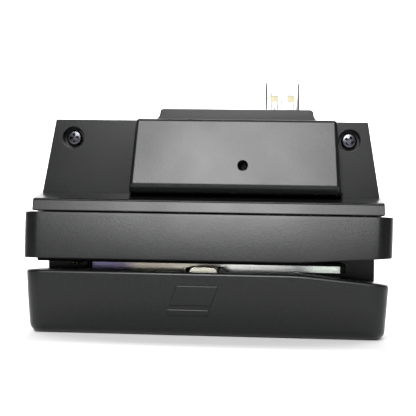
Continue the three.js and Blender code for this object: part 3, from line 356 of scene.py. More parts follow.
def edge_rings(base, radius, direction, steps=6):
    """Rings that round an edge; direction is +1 when the edge is the wing's lowest."""
    rings = []
    for i in range(steps + 1):
        turn = math.pi / 2 * i / steps
        inset = radius * (1 - math.sin(turn))
        rise = radius * (1 - math.cos(turn))
        rings.append((offset_height(base, direction * rise), inset))
    return rings if direction > 0 else rings[::-1]


def wall_rings(low, high, count):
    return [(blend_height(low, high, i / count), 0) for i in range(1, count)]


def constant(value):
    return lambda x: value


LOWER_HALF = LOWER_HI.x
SETBACK = 0.35
LOWER_FRONT = FRONT + SETBACK


def screw_places(prefix):
    """Middles of the CAD fasteners whose names start alike, in millimetres."""
    places = []
    for node in sorted(frame["nodes"]):
        if node.startswith(prefix):
            low, high = span(node)
            places.append((low + high) / 2)
    return places


COVER_PLACES = screw_places("cover_screw")
STACK_PLACES = screw_places("stack_screw")
SPRING_PLACES = screw_places("spring_screw")
PLATE_PLACES = screw_places("plate_screw")
FLANGE_PLACES = screw_places("flange_screw")
BLOCK_PLACE = screw_places("block_screw")[0]
CABLE_LO, CABLE_HI = span("head_cable")
SPRING_LO, SPRING_HI = span("leaf_spring")
COVER_LO, COVER_HI = span("bottom_cover")
BOSS = 2.5
BORE = 1.1
STACK_BOSS = 3.0
STACK_BORE = 1.6
GAP = 0.3
SMALL_SINK = 2.3
SINK_DEPTH = 1.3
COVER_ROUND = 0.25
COVER_BORE_DEPTH = 8
STACK_BORE_FOOT = 8
STACK_HEAD_ROOM = 2.3
SPRING_CLEARANCE = 0.6
SPRING_BORE_DEPTH = 5.8
DUCT_BEHIND = 0.4
DUCT_BEFORE = 1.6
OPENING_CORNER = 2.0
WINDOW_CORNER = 0.8
MARK_PROUD = 0.33
MARK_ROOT = 1.2
MARK_ROUND = 0.3
CARD_MARK = ((-11.7, 2.2, 10.1), (-9.4, 4.5, 16.8))  # left, right and height of its foot and top
BAR_MARK = ((-12.4, 1.4, 6.8), (-12.4, 1.4, 8.9))


def upright(name, radius, low, high, place):
    """A round piece or tool along Z at a fastener's place."""
    return rod(name, radius, low, high, (place.x, place.y, 0), "Z")


def level(name, radius, low, high, place):
    """A round piece or tool along Y at a fastener's place."""
    return rod(name, radius, low, high, (place.x, 0, place.z), "Y")


def around(low, high, gap, radius):
    """A rounded opening in plan that clears a box by a gap."""
    return rounded_outline(low.x - gap, high.x + gap, low.y - gap, high.y + gap, radius)


def cable_duct(z0, z1):
    return box(
        "duct", CABLE_LO.x - GAP, CABLE_HI.x + GAP,
        CABLE_HI.y - DUCT_BEFORE, CABLE_HI.y + DUCT_BEHIND, z0, z1,
    )


def raised_mark(name, corners):
    """A flat raised mark that follows the lower wing's leaning front."""
    steps = 8
    vertices = []
    faces = []
    (left_low, right_low, bottom), (left_high, right_high, top) = corners
    for depth in (-MARK_PROUD, MARK_ROOT):
        for i in range(steps + 1):
            t = i / steps
            z = bottom + (top - bottom) * t
            y = LOWER_FRONT + lower_lean(z) + depth
            vertices.append((left_low + (left_high - left_low) * t, y, z))
            vertices.append((right_low + (right_high - right_low) * t, y, z))
    back = 2 * (steps + 1)
    for i in range(steps):
        a = 2 * i
        faces.append((a, a + 1, a + 3, a + 2))
        faces.append((back + a, back + a + 2, back + a + 3, back + a + 1))
        faces.append((a, a + 2, back + a + 2, back + a))
        faces.append((a + 1, back + a + 1, back + a + 3, a + 3))
    faces.append((0, back, back + 1, 1))
    end = 2 * steps
    faces.append((end, end + 1, back + end + 1, back + end))
    return bevelled(mesh_object(name, vertices, faces), MARK_ROUND, 3, 40)


def lower_wing():
    floor = constant(0.0)
    rings = (
        edge_rings(floor, BOTTOM_ROUND, 1)
        + wall_rings(constant(BOTTOM_ROUND), offset_height(lower_top, -LIP_ROUND), WALL_STEPS)
        + edge_rings(lower_top, LIP_ROUND, -1)
    )
    shape = (LOWER_FRONT, BACK, FRONT_CORNER, BACK_CORNER, lower_side, lower_lean)
    wing = wing_solid("lower_wing_shell", rings, LOWER_HALF, *shape)
    roof = offset_height(lower_top, -WALL)
    inner = [(blend_height(constant(COVER_HI.z), roof, i / 6), 0) for i in range(7)]
    hollow = wing_solid(
        "hollow", inner, LOWER_HALF - WALL, LOWER_FRONT + WALL, BACK - WALL,
        FRONT_CORNER - WALL, BACK_CORNER - WALL, lower_side, lower_lean,
    )
    opening = prism(
        "opening", around(COVER_LO, COVER_HI, GAP, OPENING_CORNER), "Z", -REACH, COVER_HI.z + 0.5,
    )
    cut(wing, hollow, opening)
    posts = []
    for place in COVER_PLACES:
        top = lower_top(place.x + BOSS) - REACH
        posts.append(upright("post", BOSS, COVER_HI.z + GAP, top, place))
    seat = span("stack_screw_left")[0].z + STACK_HEAD_ROOM
    for place in STACK_PLACES:
        top = lower_top(place.x + STACK_BOSS) - REACH
        posts.append(upright("post", STACK_BOSS, seat, top, place))
    for place in SPRING_PLACES:
        top = lower_top(place.x) - REACH
        posts.append(upright("post", BOSS, SPRING_LO.z + SPRING_CLEARANCE, top, place))
    join(wing, *posts)
    join(wing, raised_mark("symbol", CARD_MARK), raised_mark("symbol_bar", BAR_MARK))
    window = prism(
        "window", around(SHROUD_LO, SHROUD_HI, 2 * GAP, WINDOW_CORNER), "Z",
        LOWER_HI.z - 2 * WALL + 0.5, LOWER_HI.z + REACH,
    )
    bores = [
        upright("bore", BORE, COVER_HI.z, COVER_HI.z + COVER_BORE_DEPTH, p) for p in COVER_PLACES
    ]
    bores += [
        upright("bore", STACK_BORE, STACK_BORE_FOOT, LOWER_HI.z + REACH, p) for p in STACK_PLACES
    ]
    bores += [
        upright("bore", BORE, SPRING_LO.z, SPRING_LO.z + SPRING_BORE_DEPTH, p)
        for p in SPRING_PLACES
    ]
    cut(wing, window, cable_duct(LOWER_HI.z - 2 * WALL, LOWER_HI.z + REACH), *bores)
    return finish_shading(wing)


def upper_wing():
    top = constant(UPPER_HI.z)
    shoulder = constant(UPPER_HI.z - SEAM_ROUND)
    rings = (
        edge_rings(upper_bottom, UPPER_LIP, 1)
        + wall_rings(offset_height(upper_bottom, UPPER_LIP), shoulder, WALL_STEPS)
        + edge_rings(top, SEAM_ROUND, -1, 3)
    )
    wing = wing_solid(
        "upper_wing_shell", rings, HALF, FRONT, BACK, FRONT_CORNER, BACK_CORNER,
        upper_side, upper_lean,
    )
    floor = offset_height(upper_bottom, WALL)
    inner = [(blend_height(floor, constant(UPPER_HI.z + 1), i / 5), 0) for i in range(6)]
    hollow = wing_solid(
        "hollow", inner, HOUSE_HI.x - WALL, FRONT + WALL, BACK - WALL,
        FRONT_CORNER - WALL, BACK_CORNER - WALL, upper_side, upper_lean,
    )
    cut(wing, hollow)
    join(wing, *[
        upright("post", STACK_BOSS, upper_bottom(p.x) + REACH, UPPER_HI.z, p) for p in STACK_PLACES
    ])
    bores = [
        upright("bore", STACK_BORE, UPPER_LO.z - REACH, UPPER_HI.z + REACH, p)
        for p in STACK_PLACES
    ]
    cut(wing, cable_duct(UPPER_LO.z - REACH, UPPER_LO.z + 2 * WALL), *bores)
    return finish_shading(wing)


# ---------------------------------------------------------------- mount housing
BAND_LEAN = 0.9
BAND_HEIGHT = 4.2
BAND_GROOVE = 0.45
RAMP_RISE = 2.5
FLANGE_HEIGHT = 25.8
BLOCK_OUT_TOP = 4.9
BLOCK_OUT_BOTTOM = 10.5
BLOCK_CHAMFER_OUT = 2.3
BLOCK_CHAMFER_RISE = 2.4
BLOCK_DRAFT = 0.15
BLOCK_FOOT_TOP = 70.0
BLOCK_FOOT_BOTTOM = 74.0
TAB_TOP_WIDTH = 52.9
TAB_FLARE = 1.7
TAB_OUT = 1.5
TAB_CORNER = 1.2
FLANGE_TAPER = 4.25
COUNTERBORE = 3.65
COUNTERBORE_DEPTH = 3.5
COUNTERBORE_RIM = 0.3
FLANGE_BORE = 1.75
BLOCK_HOLE = 1.8
BLOCK_HOLE_RIM = 0.2
BLOCK_TUBE_WALL = 1.4
BLOCK_SCREW_X = 2.7
BLOCK_ROUND = 1.1
PLATE_ROUND = 0.35
STEP_ROUND = 0.4
BAND_BACK = 2.1
REAR_CHAMFER = 1.5
DUCT_ROOM = 4
PLUG_GAP = 0.3
PLUG_CORNER = 0.6
PLATE_BORE_DEPTH = 5.5
STACK_SEAT = 0.7
TAB_WAIST = 0.35
TAB_STEPS = 6
TAB_ROOM = 1.5
PLATE_GAP = 0.05
GROOVE_WIDTH = 0.32

BAND_FOOT = HOUSE_LO.z
RAMP_FOOT = BAND_FOOT + BAND_HEIGHT
FLANGE_FOOT = RAMP_FOOT + RAMP_RISE
FLANGE_TOP = FLANGE_FOOT + FLANGE_HEIGHT
FLANGE_SET_BACK = 14.0
FLANGE_THICKNESS = 9.0
FLANGE_FRONT = FRONT + FLANGE_SET_BACK
HOUSING_BACK = FLANGE_FRONT + FLANGE_THICKNESS
BLOCK_X = BLOCK_PLACE.x - BLOCK_SCREW_X
BOARD_FRONT = span("decoder_board")[0].y


def flange_half(z):
    """Half the flange's width at a height."""
    return PLATE_HI.x + PLATE_GAP - FLANGE_TAPER * (z - FLANGE_FOOT) / FLANGE_HEIGHT


def flange_outline(foot, top):
    return [
        (-flange_half(foot), foot), (flange_half(foot), foot),
        (flange_half(top), top), (-flange_half(top), top),
    ]


def block_solid(name, wall, back):
    """The block over the board, or its hollow when wall is more than nothing."""
    rows = [
        (back, FLANGE_FOOT + wall),
        (FLANGE_FRONT, FLANGE_FOOT + wall),
        (FLANGE_FRONT - BLOCK_OUT_BOTTOM + BLOCK_CHAMFER_OUT + wall, FLANGE_FOOT + wall),
        (FLANGE_FRONT - BLOCK_OUT_BOTTOM + wall, FLANGE_FOOT + BLOCK_CHAMFER_RISE + wall),
        (FLANGE_FRONT - BLOCK_OUT_TOP + wall, FLANGE_TOP - wall),
        (back, FLANGE_TOP - wall),
    ]
    vertices = []
    for side in (-1, 1):
        for y, z in rows:
            rise = (z - FLANGE_FOOT) / FLANGE_HEIGHT
            foot = (BLOCK_FOOT_BOTTOM + (BLOCK_FOOT_TOP - BLOCK_FOOT_BOTTOM) * rise) / 2
            out = max(FLANGE_FRONT - y, 0)
            vertices.append((BLOCK_X + side * (foot - BLOCK_DRAFT * out - wall), y, z))
    count = len(rows)
    faces = [tuple(range(count)), tuple(range(2 * count - 1, count - 1, -1))]
    for i in range(count):
        j = (i + 1) % count
        faces.append((i, j, j + count, i + count))
    return mesh_object(name, vertices, faces)


def tab_outline():
    """The tab's front view: rounded top corners and sides that flare into its foot."""
    half = TAB_TOP_WIDTH / 2
    top = HOUSE_HI.z
    side = arc(half - TAB_CORNER, top - TAB_CORNER, TAB_CORNER, 90, 8, TAB_STEPS)
    for i in range(1, TAB_STEPS + 1):
        t = i / TAB_STEPS
        x = half + TAB_WAIST * t + (TAB_FLARE - TAB_WAIST) * t ** 3
        side.append((x, top - TAB_CORNER - (top - TAB_CORNER - FLANGE_TOP) * t))
    side.append((half + TAB_FLARE, FLANGE_TOP - REACH))
    right = [(BLOCK_X + x, z) for x, z in side]
    left = [(BLOCK_X - x, z) for x, z in reversed(side)]
    return right + left


def step_solid():
    profile = [
        (FRONT + BAND_BACK, BAND_FOOT), (FRONT + BAND_BACK + BAND_LEAN, RAMP_FOOT),
        (FLANGE_FRONT, FLANGE_FOOT), (BACK - REAR_CHAMFER, FLANGE_FOOT),
        (BACK, FLANGE_FOOT - REAR_CHAMFER), (BACK, BAND_FOOT),
    ]
    return prism("mount_housing_shell", profile, "X", HOUSE_LO.x, HOUSE_HI.x)


def sunk_hole(place, radius, rim, y0, y1, sides=48):
    """A round cutting tool along Y whose mouth at y0 is eased outwards by a small rim."""
    profile = [(0, y0 - REACH), (radius + rim, y0 - REACH), (radius + rim, y0)]
    profile += [
        (radius + rim * (1 - math.sin(t)), y0 + rim * (1 - math.cos(t)))
        for t in [math.pi / 2 * i / 4 for i in range(1, 5)]
    ]
    profile += [(radius, y1), (0, y1)]
    return lathe("sunk", profile, sides, (place.x, 0, place.z), "Y")


def housing_hollow():
    """The room inside the housing for the board, the cable and the plug's foot."""
    duct = CABLE_LO.x - DUCT_ROOM, CABLE_HI.x + DUCT_ROOM
    tab_half = TAB_TOP_WIDTH / 2 - WALL
    hollow = block_solid("hollow", WALL, HOUSING_BACK + REACH)
    join(
        hollow,
        box(
            "room", *duct, FLANGE_FRONT, BACK - WALL, BAND_FOOT - REACH, RAMP_FOOT + GAP,
        ),
        box(
            "room", *duct, FLANGE_FRONT, HOUSING_BACK - PLATE_GAP,
            RAMP_FOOT, FLANGE_FOOT + WALL + REACH,
        ),
        box(
            "room", BLOCK_X - tab_half, BLOCK_X + tab_half, FLANGE_FRONT + TAB_ROOM,
            HOUSING_BACK + REACH, FLANGE_TOP - WALL - REACH, HOUSE_HI.z - WALL,
        ),
    )
    tube = level("tube", BLOCK_HOLE + BLOCK_TUBE_WALL, FRONT, BOARD_FRONT - GAP, BLOCK_PLACE)
    return cut(hollow, tube)


def housing_holes():
    """Tools for the plug's opening, the screw holes and the groove over the band."""
    tools = [prism("plug_opening", rounded_outline(
        SHELL_LO.x - PLUG_GAP, SHELL_HI.x + PLUG_GAP, SHELL_LO.y - PLUG_GAP,
        HOUSING_BACK + REACH, PLUG_CORNER,
    ), "Z", FLANGE_TOP - WALL - REACH, HOUSE_HI.z + REACH)]
    for place in FLANGE_PLACES:
        seat = FLANGE_FRONT + COUNTERBORE_DEPTH
        tools.append(sunk_hole(place, COUNTERBORE, COUNTERBORE_RIM, FLANGE_FRONT, seat))
        tools.append(level("bore", FLANGE_BORE, FLANGE_FRONT, HOUSING_BACK + REACH, place))
    above = BLOCK_PLACE.z - FLANGE_FOOT - BLOCK_CHAMFER_RISE
    rise = above / (FLANGE_HEIGHT - BLOCK_CHAMFER_RISE)
    face = FLANGE_FRONT - BLOCK_OUT_BOTTOM + (BLOCK_OUT_BOTTOM - BLOCK_OUT_TOP) * rise
    tools.append(sunk_hole(
        BLOCK_PLACE, BLOCK_HOLE, BLOCK_HOLE_RIM, face - 0.3, FLANGE_FRONT + BLOCK_HOLE,
    ))
    tools.append(level("bore", BORE, FRONT, BOARD_FRONT, BLOCK_PLACE))
    for place in PLATE_PLACES:
        start = HOUSING_BACK - PLATE_BORE_DEPTH
        tools.append(level("bore", BORE, start, HOUSING_BACK + REACH, place))
    for place in STACK_PLACES:
        seat = RAMP_FOOT - STACK_SEAT
        tools.append(upright("bore", STACK_BORE, BAND_FOOT - REACH, seat, place))
    groove = RAMP_FOOT - BAND_GROOVE
    tools.append(box(
        "groove", HOUSE_LO.x - REACH, HOUSE_HI.x + REACH, FRONT,
        FRONT + BAND_BACK + BAND_LEAN + BAND_GROOVE, groove - GROOVE_WIDTH, groove,
    ))
    return tools


def mount_housing():
    housing = bevelled(step_solid(), STEP_ROUND, 3)
    flange = prism(
        "flange", flange_outline(FLANGE_FOOT - REACH, FLANGE_TOP), "Y", FLANGE_FRONT, HOUSING_BACK,
    )
    bevelled(flange, PLATE_ROUND, 3)
    block = bevelled(block_solid("block", 0, HOUSING_BACK - EPS), BLOCK_ROUND, 6)
    tab = prism("tab", tab_outline(), "Y", FLANGE_FRONT - TAB_OUT, HOUSING_BACK - 2 * EPS)
    bevelled(tab, STEP_ROUND, 3)
    join(housing, flange, block, tab)
    cut(housing, housing_hollow())
    cut(housing, *housing_holes())
    return finish_shading(housing)


def rear_plate():
    face = HOUSING_BACK + PLATE_GAP
    back = PLATE_HI.y
    outline = flange_outline(PLATE_LO.z, FLANGE_TOP)
    plate = bevelled(prism("rear_plate_cover", outline, "Y", face, back), PLATE_ROUND, 3)
    tab = bevelled(prism("tab", tab_outline(), "Y", face + EPS, back - EPS), PLATE_ROUND, 3)
    join(plate, tab, level("boss", BOSS, PLATE_LO.y, back - 0.5, BLOCK_PLACE))
    tools = [
        level("bore", FLANGE_BORE, HOUSING_BACK - REACH, back + REACH, p) for p in FLANGE_PLACES
    ]
    tools.append(level("bore", BORE, PLATE_LO.y - REACH, back - 0.6, BLOCK_PLACE))
    for place in PLATE_PLACES:
        tools.append(level("bore", BORE, HOUSING_BACK - REACH, back + REACH, place))
        tools.append(level("sink", SMALL_SINK, back - SINK_DEPTH, back + REACH, place))
    cut(plate, *tools)
    return finish_shading(plate)


def bottom_cover():
    outline = around(COVER_LO, COVER_HI, 0, OPENING_CORNER - GAP)
    cover = prism("bottom_cover_plate", outline, "Z", 0, COVER_HI.z)
    bevelled(cover, COVER_ROUND, 2, 50)
    tools = []
    for place in COVER_PLACES:
        tools.append(upright("bore", BORE, -REACH, COVER_HI.z + REACH, place))
        tools.append(upright("sink", SMALL_SINK, -REACH, SINK_DEPTH, place))
    cut(cover, *tools)
    return finish_shading(cover)


# ---------------------------------------------------------------- fasteners
SCREW_SIDES = 32
ROWS_PER_TURN = 6
CREST_STEPS = 6
CROSS = {"arm": 0.6, "slot": 0.17, "depth": 0.62}  # shares of the head's radius and height
CROSS_MOUTH, CROSS_FLOOR = 1.15, 0.55  # shares of the arm at the mouth and at the floor
CROWN_SAG = 0.06
THREAD_DEPTH = 0.42
TIP_TAPER = 0.35


def cross_recess(head, height):
    """A tapered cross that is sunk into a screw's head, pointing along +Z from below."""
    arm, slot = head * CROSS["arm"], head * CROSS["slot"]
    depth = height * CROSS["depth"]
    pieces = []
    for turned in (False, True):
        vertices = []
        for z, share in ((-height - 0.5, CROSS_MOUTH), (-height + depth, CROSS_FLOOR)):
            for u, v in ((-1, -1), (1, -1), (1, 1), (-1, 1)):
                x, y = u * arm * share, v * slot * (0.6 + 0.4 * share)
                vertices.append((y, x, z) if turned else (x, y, z))
        faces = [(0, 3, 2, 1), (4, 5, 6, 7), (0, 1, 5, 4), (1, 2, 6, 5), (2, 3, 7, 6), (3, 0, 4, 7)]
        pieces.append(mesh_object("recess", vertices, faces))
    return join(pieces[0], pieces[1])


def head_profile(head, height):
    """A pan head's (radius, height) points, from its crown round to its underside."""
    edge = min(0.3 * head, 0.6 * height)
    sag = CROWN_SAG * height
    crown = [(share * (head - edge), -height + sag * share ** 2) for share in (0.35, 0.7)]
    for i in range(CREST_STEPS + 1):
        turn = math.pi / 2 * i / CREST_STEPS
        crown.append((
            head - edge + edge * math.sin(turn), -height + sag + edge * (1 - math.cos(turn)),
        ))
    return crown + [(head, -height * 0.2), (head * 0.96, -0.06), (head * 0.9, 0.0)]


def thread_radius(z, step, shank, length, pitch):
    """The shank's radius on a helical thread that fades in, and out towards a tapered tip."""
    phase = (z / pitch - step / SCREW_SIDES) % 1.0
    ridge = 1 - abs(2 * phase - 1)
    fade = max(min(z / pitch, (length - z) / pitch, 1.0), 0)
    taper = TIP_TAPER * shank * max(1 - (length - z) / shank, 0)
    return shank - pitch * THREAD_DEPTH * (1 - ridge) * fade - taper


def threaded_screw(name, head, height, shank, length, pitch, transform):
    """A pan-head screw, its head's underside at z = 0, moved by a transform."""
    rings = [[(radius, z)] * SCREW_SIDES for radius, z in head_profile(head, height)]
    rows = int(length / pitch * ROWS_PER_TURN)
    for row in range(rows + 1):
        z = 0.02 + (length - 0.02) * row / rows
        rings.append([
            (thread_radius(z, step, shank, length, pitch), z) for step in range(SCREW_SIDES)
        ])
    vertices, faces = [], []
    for ring in rings:
        for step, (radius, z) in enumerate(ring):
            turn = math.tau * step / SCREW_SIDES
            vertices.append((radius * math.cos(turn), radius * math.sin(turn), z))
    vertices += [(0, 0, -height), (0, 0, length)]
    bottom, last = len(vertices) - 2, (len(rings) - 1) * SCREW_SIDES
    for step in range(SCREW_SIDES):
        after = (step + 1) % SCREW_SIDES
        for base in range(0, last, SCREW_SIDES):
            a, b = base + step, base + after
            faces.append((a, b, b + SCREW_SIDES, a + SCREW_SIDES))
        faces.append((bottom, after, step))
        faces.append((bottom + 1, last + step, last + after))
    screw = mesh_object(name, vertices, faces)
    cut(screw, cross_recess(head, height))
    screw.data.transform(transform)
    return finish_shading(screw, 40, weighted=False)


def screw_from(node, head, height, shank, pitch, turn):
    """Rebuilds one CAD screw; turn is its rotation about its own axis, in degrees."""
    low, high = span(node)
    middle = (low + high) / 2
    size = high - low
    spin = Matrix.Rotation(math.radians(turn), 4, "Z")
    if size.y > max(size.x, size.z):
        pushed_back = node.startswith("plate")
        length = size.y - height
        seat = high.y - height if pushed_back else low.y + height
        lay = Matrix.Rotation(math.pi / 2 if pushed_back else -math.pi / 2, 4, "X")
        place = (middle.x, seat, middle.z)
    else:
        length = size.z - height
        lay = Matrix.Identity(4)
        place = (middle.x, middle.y, low.z + height)
    transform = Matrix.Translation(Vector(place) * MM) @ lay @ spin
    name = node + "_threaded"
    return threaded_screw(name, head, height, shank, length, pitch, transform)


# ---------------------------------------------------------------- plug
SHELL_SKIN = 0.35
SHELL_CORNER = 0.75
SHELL_INNER_CORNER = 0.2
WINDOW_HALF = 1.35
WINDOW_OFF = 2.95
WINDOW_TOP, WINDOW_FOOT = 4.8, 7.1  # below the shell's tip
SEAM_HALF = 0.06
SEAM_DEPTH = 0.18
TAIL_TOP, TAIL_FOOT = 2.0, 3.85  # the seam's dovetail, below the shell's tip
TAIL_WIDTH = 0.95


def shell_rings():
    """The folded sheet's rings of (inset, height), up its outside and down its inside."""
    foot, tip = SHELL_LO.z, SHELL_HI.z
    return [
        (0.0, foot), (0.0, tip - 0.5), (0.06, tip - 0.2), (0.2, tip),
        (SHELL_SKIN - 0.05, tip), (SHELL_SKIN, tip - 0.15), (SHELL_SKIN, foot),
    ]


def seam_cut(x0, x1, z0, z1):
    return box(
        "seam", x0 - SEAM_HALF, x1 + SEAM_HALF, SHELL_LO.y - REACH, SHELL_LO.y + SEAM_DEPTH,
        z0 - SEAM_HALF, z1 + SEAM_HALF,
    )


def plug_shell():
    """The folded sheet shell: rolled tip, four windows and a dovetailed seam at the front."""
    rings = shell_rings()
    vertices, faces = [], []
    for inset, z in rings:
        outline = rounded_outline(
            SHELL_LO.x + inset, SHELL_HI.x - inset, SHELL_LO.y + inset, SHELL_HI.y - inset,
            max(SHELL_CORNER - inset, SHELL_INNER_CORNER),
        )
        vertices += [(x, y, z) for x, y in outline]
    count = len(vertices) // len(rings)
    for ring in range(len(rings)):
        base, above = ring * count, (ring + 1) % len(rings) * count
        for i in range(count):
            j = (i + 1) % count
            faces.append((base + i, base + j, above + j, above + i))
    shell = mesh_object("usb_shell_folded", vertices, faces)
    middle, tip = (SHELL_LO.x + SHELL_HI.x) / 2, SHELL_HI.z
    tools = []
    for side in (-1, 1):
        x = middle + side * WINDOW_OFF
        outline = rounded_outline(
            x - WINDOW_HALF, x + WINDOW_HALF, tip - WINDOW_FOOT, tip - WINDOW_TOP, 0.4, 5,
        )
        tools.append(prism("window", outline, "Y", SHELL_LO.y - REACH, SHELL_HI.y + REACH))
    tail = middle - TAIL_WIDTH
    tools += [
        seam_cut(middle, middle, SHELL_LO.z - REACH, tip - TAIL_FOOT),
        seam_cut(tail, tail, tip - TAIL_FOOT, tip - TAIL_TOP),
        seam_cut(middle, middle, tip - TAIL_TOP, tip + REACH),
        seam_cut(tail, middle, tip - TAIL_FOOT, tip - TAIL_FOOT),
        seam_cut(tail, middle, tip - TAIL_TOP, tip - TAIL_TOP),
    ]
    cut(shell, *tools)
    return finish_shading(shell, 30)


# ---------------------------------------------------------------- slot
STRIP_HALF = 0.15
STRIP_INSET = 0.2
STRIP_ROLL = 1.3
STRIP_BOW = 0.1
STRIP_STEPS = 60


def strip_path():
    """The strip's middle line in plan: a hook at each end, and a slight bow between them."""
    low, high = span("wear_strip")
    face, hook = low.y + STRIP_INSET, high.y - STRIP_INSET
    left, right = low.x + STRIP_INSET, high.x - STRIP_INSET
    turns = [math.radians(angle) for angle in range(0, 91, 15)]
    curl = [(1 - math.cos(turn), 1 - math.sin(turn)) for turn in turns]
    path = [(left, hook)] + [(left + STRIP_ROLL * u, face + STRIP_ROLL * v) for u, v in curl]
    for i in range(1, STRIP_STEPS):
        t = i / STRIP_STEPS
        bow = STRIP_BOW * math.sin(t * math.pi * 3) * math.sin(t * math.pi)
        x = left + STRIP_ROLL + (right - left - 2 * STRIP_ROLL) * t
        path.append((x, face + abs(bow)))
    for turn in turns:
        u, v = math.sin(turn) - 1, 1 - math.cos(turn)
        path.append((right + STRIP_ROLL * u, face + STRIP_ROLL * v))
    return path + [(right, hook)]


def wear_strip():
    """Polished strip with rolled hooks; it bows a little, as thin sheet does between its ends."""
    low, high = span("wear_strip")
    path = strip_path()
    near, far = [], []
    for i, (x, y) in enumerate(path):
        x0, y0 = path[max(i - 1, 0)]
        x1, y1 = path[min(i + 1, len(path) - 1)]
        length = math.hypot(x1 - x0, y1 - y0)
        off_x, off_y = -(y1 - y0) / length * STRIP_HALF, (x1 - x0) / length * STRIP_HALF
        near.append((x - off_x, y - off_y))
        far.append((x + off_x, y + off_y))
    strip = prism("wear_strip_rolled", near + far[::-1], "Z", low.z, high.z)
    return finish_shading(strip, 40)


def softened(node, width, segments=3, angle=30):
    """A CAD solid with its edges rounded, as a new piece."""
    mesh = frame["nodes"][node].data.copy()
    mesh.materials.clear()
    piece = new_object(node + "_soft", mesh)
    edit = bmesh.new()
    edit.from_mesh(mesh)
    bmesh.ops.remove_doubles(edit, verts=edit.verts, dist=WELD)
    bmesh.ops.dissolve_limit(edit, angle_limit=math.radians(1), verts=edit.verts, edges=edit.edges)
    edit.to_mesh(mesh)
    edit.free()
    bevelled(piece, width, segments, angle)
    return finish_shading(piece, 35)


# ---------------------------------------------------------------- materials
class Recipe:
    """A node tree with short calls for what the finishes share."""

    def __init__(self, name):
        self.material = bpy.data.materials.new(name)
        self.material.use_nodes = True
        self.tree = self.material.node_tree
        self.shader = self.tree.nodes["Principled BSDF"]
        self.where = self.add("ShaderNodeTexCoord").outputs["Object"]

    def add(self, kind, **settings):
        node = self.tree.nodes.new(kind)
        for key, value in settings.items():
            setattr(node, key, value)
        return node

    def link(self, source, target):
        self.tree.links.new(source, target)

    def stretch(self, scale):
        mapping = self.add("ShaderNodeMapping")
        mapping.inputs["Scale"].default_value = scale
        self.link(self.where, mapping.inputs["Vector"])
        return mapping.outputs["Vector"]

    def noise(self, scale, detail=3.0, rough=0.55, vector=None):
        node = self.add("ShaderNodeTexNoise")
        node.inputs["Scale"].default_value = scale
        node.inputs["Detail"].default_value = detail
        node.inputs["Roughness"].default_value = rough
        self.link(vector or self.where, node.inputs["Vector"])
        return node.outputs["Fac"]

    def spread(self, value, low, high, from_low=0.3, from_high=0.7):
        node = self.add("ShaderNodeMapRange")
        node.inputs["From Min"].default_value = from_low
        node.inputs["From Max"].default_value = from_high
        node.inputs["To Min"].default_value = low
        node.inputs["To Max"].default_value = high
        self.link(value, node.inputs["Value"])
        return node.outputs["Result"]

    def ramp(self, value, dark, light, low=0.3, high=0.7):
        node = self.add("ShaderNodeValToRGB")
        node.color_ramp.elements[0].position = low
        node.color_ramp.elements[0].color = (*dark, 1)
        node.color_ramp.elements[1].position = high
        node.color_ramp.elements[1].color = (*light, 1)
        self.link(value, node.inputs["Fac"])
        return node.outputs["Color"]

    def bump(self, height, strength, distance, before=None):
        node = self.add("ShaderNodeBump")
        node.inputs["Strength"].default_value = strength
        node.inputs["Distance"].default_value = distance
        self.link(height, node.inputs["Height"])
        if before:
            self.link(before, node.inputs["Normal"])
        return node.outputs["Normal"]

    def set(self, **values):
        for key, value in values.items():
            self.shader.inputs[key.replace("_", " ")].default_value = value

    def drive(self, name, output):
        self.link(output, self.shader.inputs[name])


PLASTIC_IOR = 1.38


def moulded_plastic(name, dark, light, rough_low, rough_high, grain):
    """Textured mould finish: fine sparked grain over a slower unevenness."""
    recipe = Recipe(name)
    fine = recipe.noise(4200, 2.0, 0.6)
    medium = recipe.noise(1500, 3.0, 0.6)
    slow = recipe.noise(45, 2.0, 0.5)
    recipe.drive("Base Color", recipe.ramp(medium, dark, light))
    recipe.drive("Roughness", recipe.spread(slow, rough_low, rough_high))
    soft = recipe.bump(medium, grain, 0.00008)
    recipe.drive("Normal", recipe.bump(fine, grain, 0.00004, soft))
    recipe.set(IOR=PLASTIC_IOR)
    return recipe.material


def plated_metal(name, dark, light, rough_low, rough_high, scratch, stretch):
    """Bright metal with fine drawn lines and a slow change of gloss."""
    recipe = Recipe(name)
    lines = recipe.noise(1800, 3.0, 0.6, recipe.stretch(stretch))
    slow = recipe.noise(120, 2.0, 0.5)
    recipe.drive("Base Color", recipe.ramp(slow, dark, light))
    recipe.drive("Roughness", recipe.spread(lines, rough_low, rough_high))
    recipe.drive("Normal", recipe.bump(lines, scratch, 0.00002))
    recipe.set(Metallic=1.0)
    return recipe.material


# Painted reflections: bright, dark and greenish bands along the strip, painted into its colour.
STEEL_PAINTED_REFLECTIONS = (  # share of the strip's length, colour
    (0.0, (0.75, 0.75, 0.8)), (0.05, (0.2, 0.18, 0.3)), (0.17, (0.16, 0.14, 0.22)),
    (0.26, (0.42, 0.38, 0.32)), (0.5, (0.6, 0.56, 0.48)), (0.62, (0.95, 0.94, 0.9)),
    (0.8, (0.8, 0.8, 0.78)), (0.88, (0.35, 0.35, 0.36)), (0.97, (0.85, 0.93, 0.85)),
)
PAINTED_REFLECTION_DRIFT = 0.01


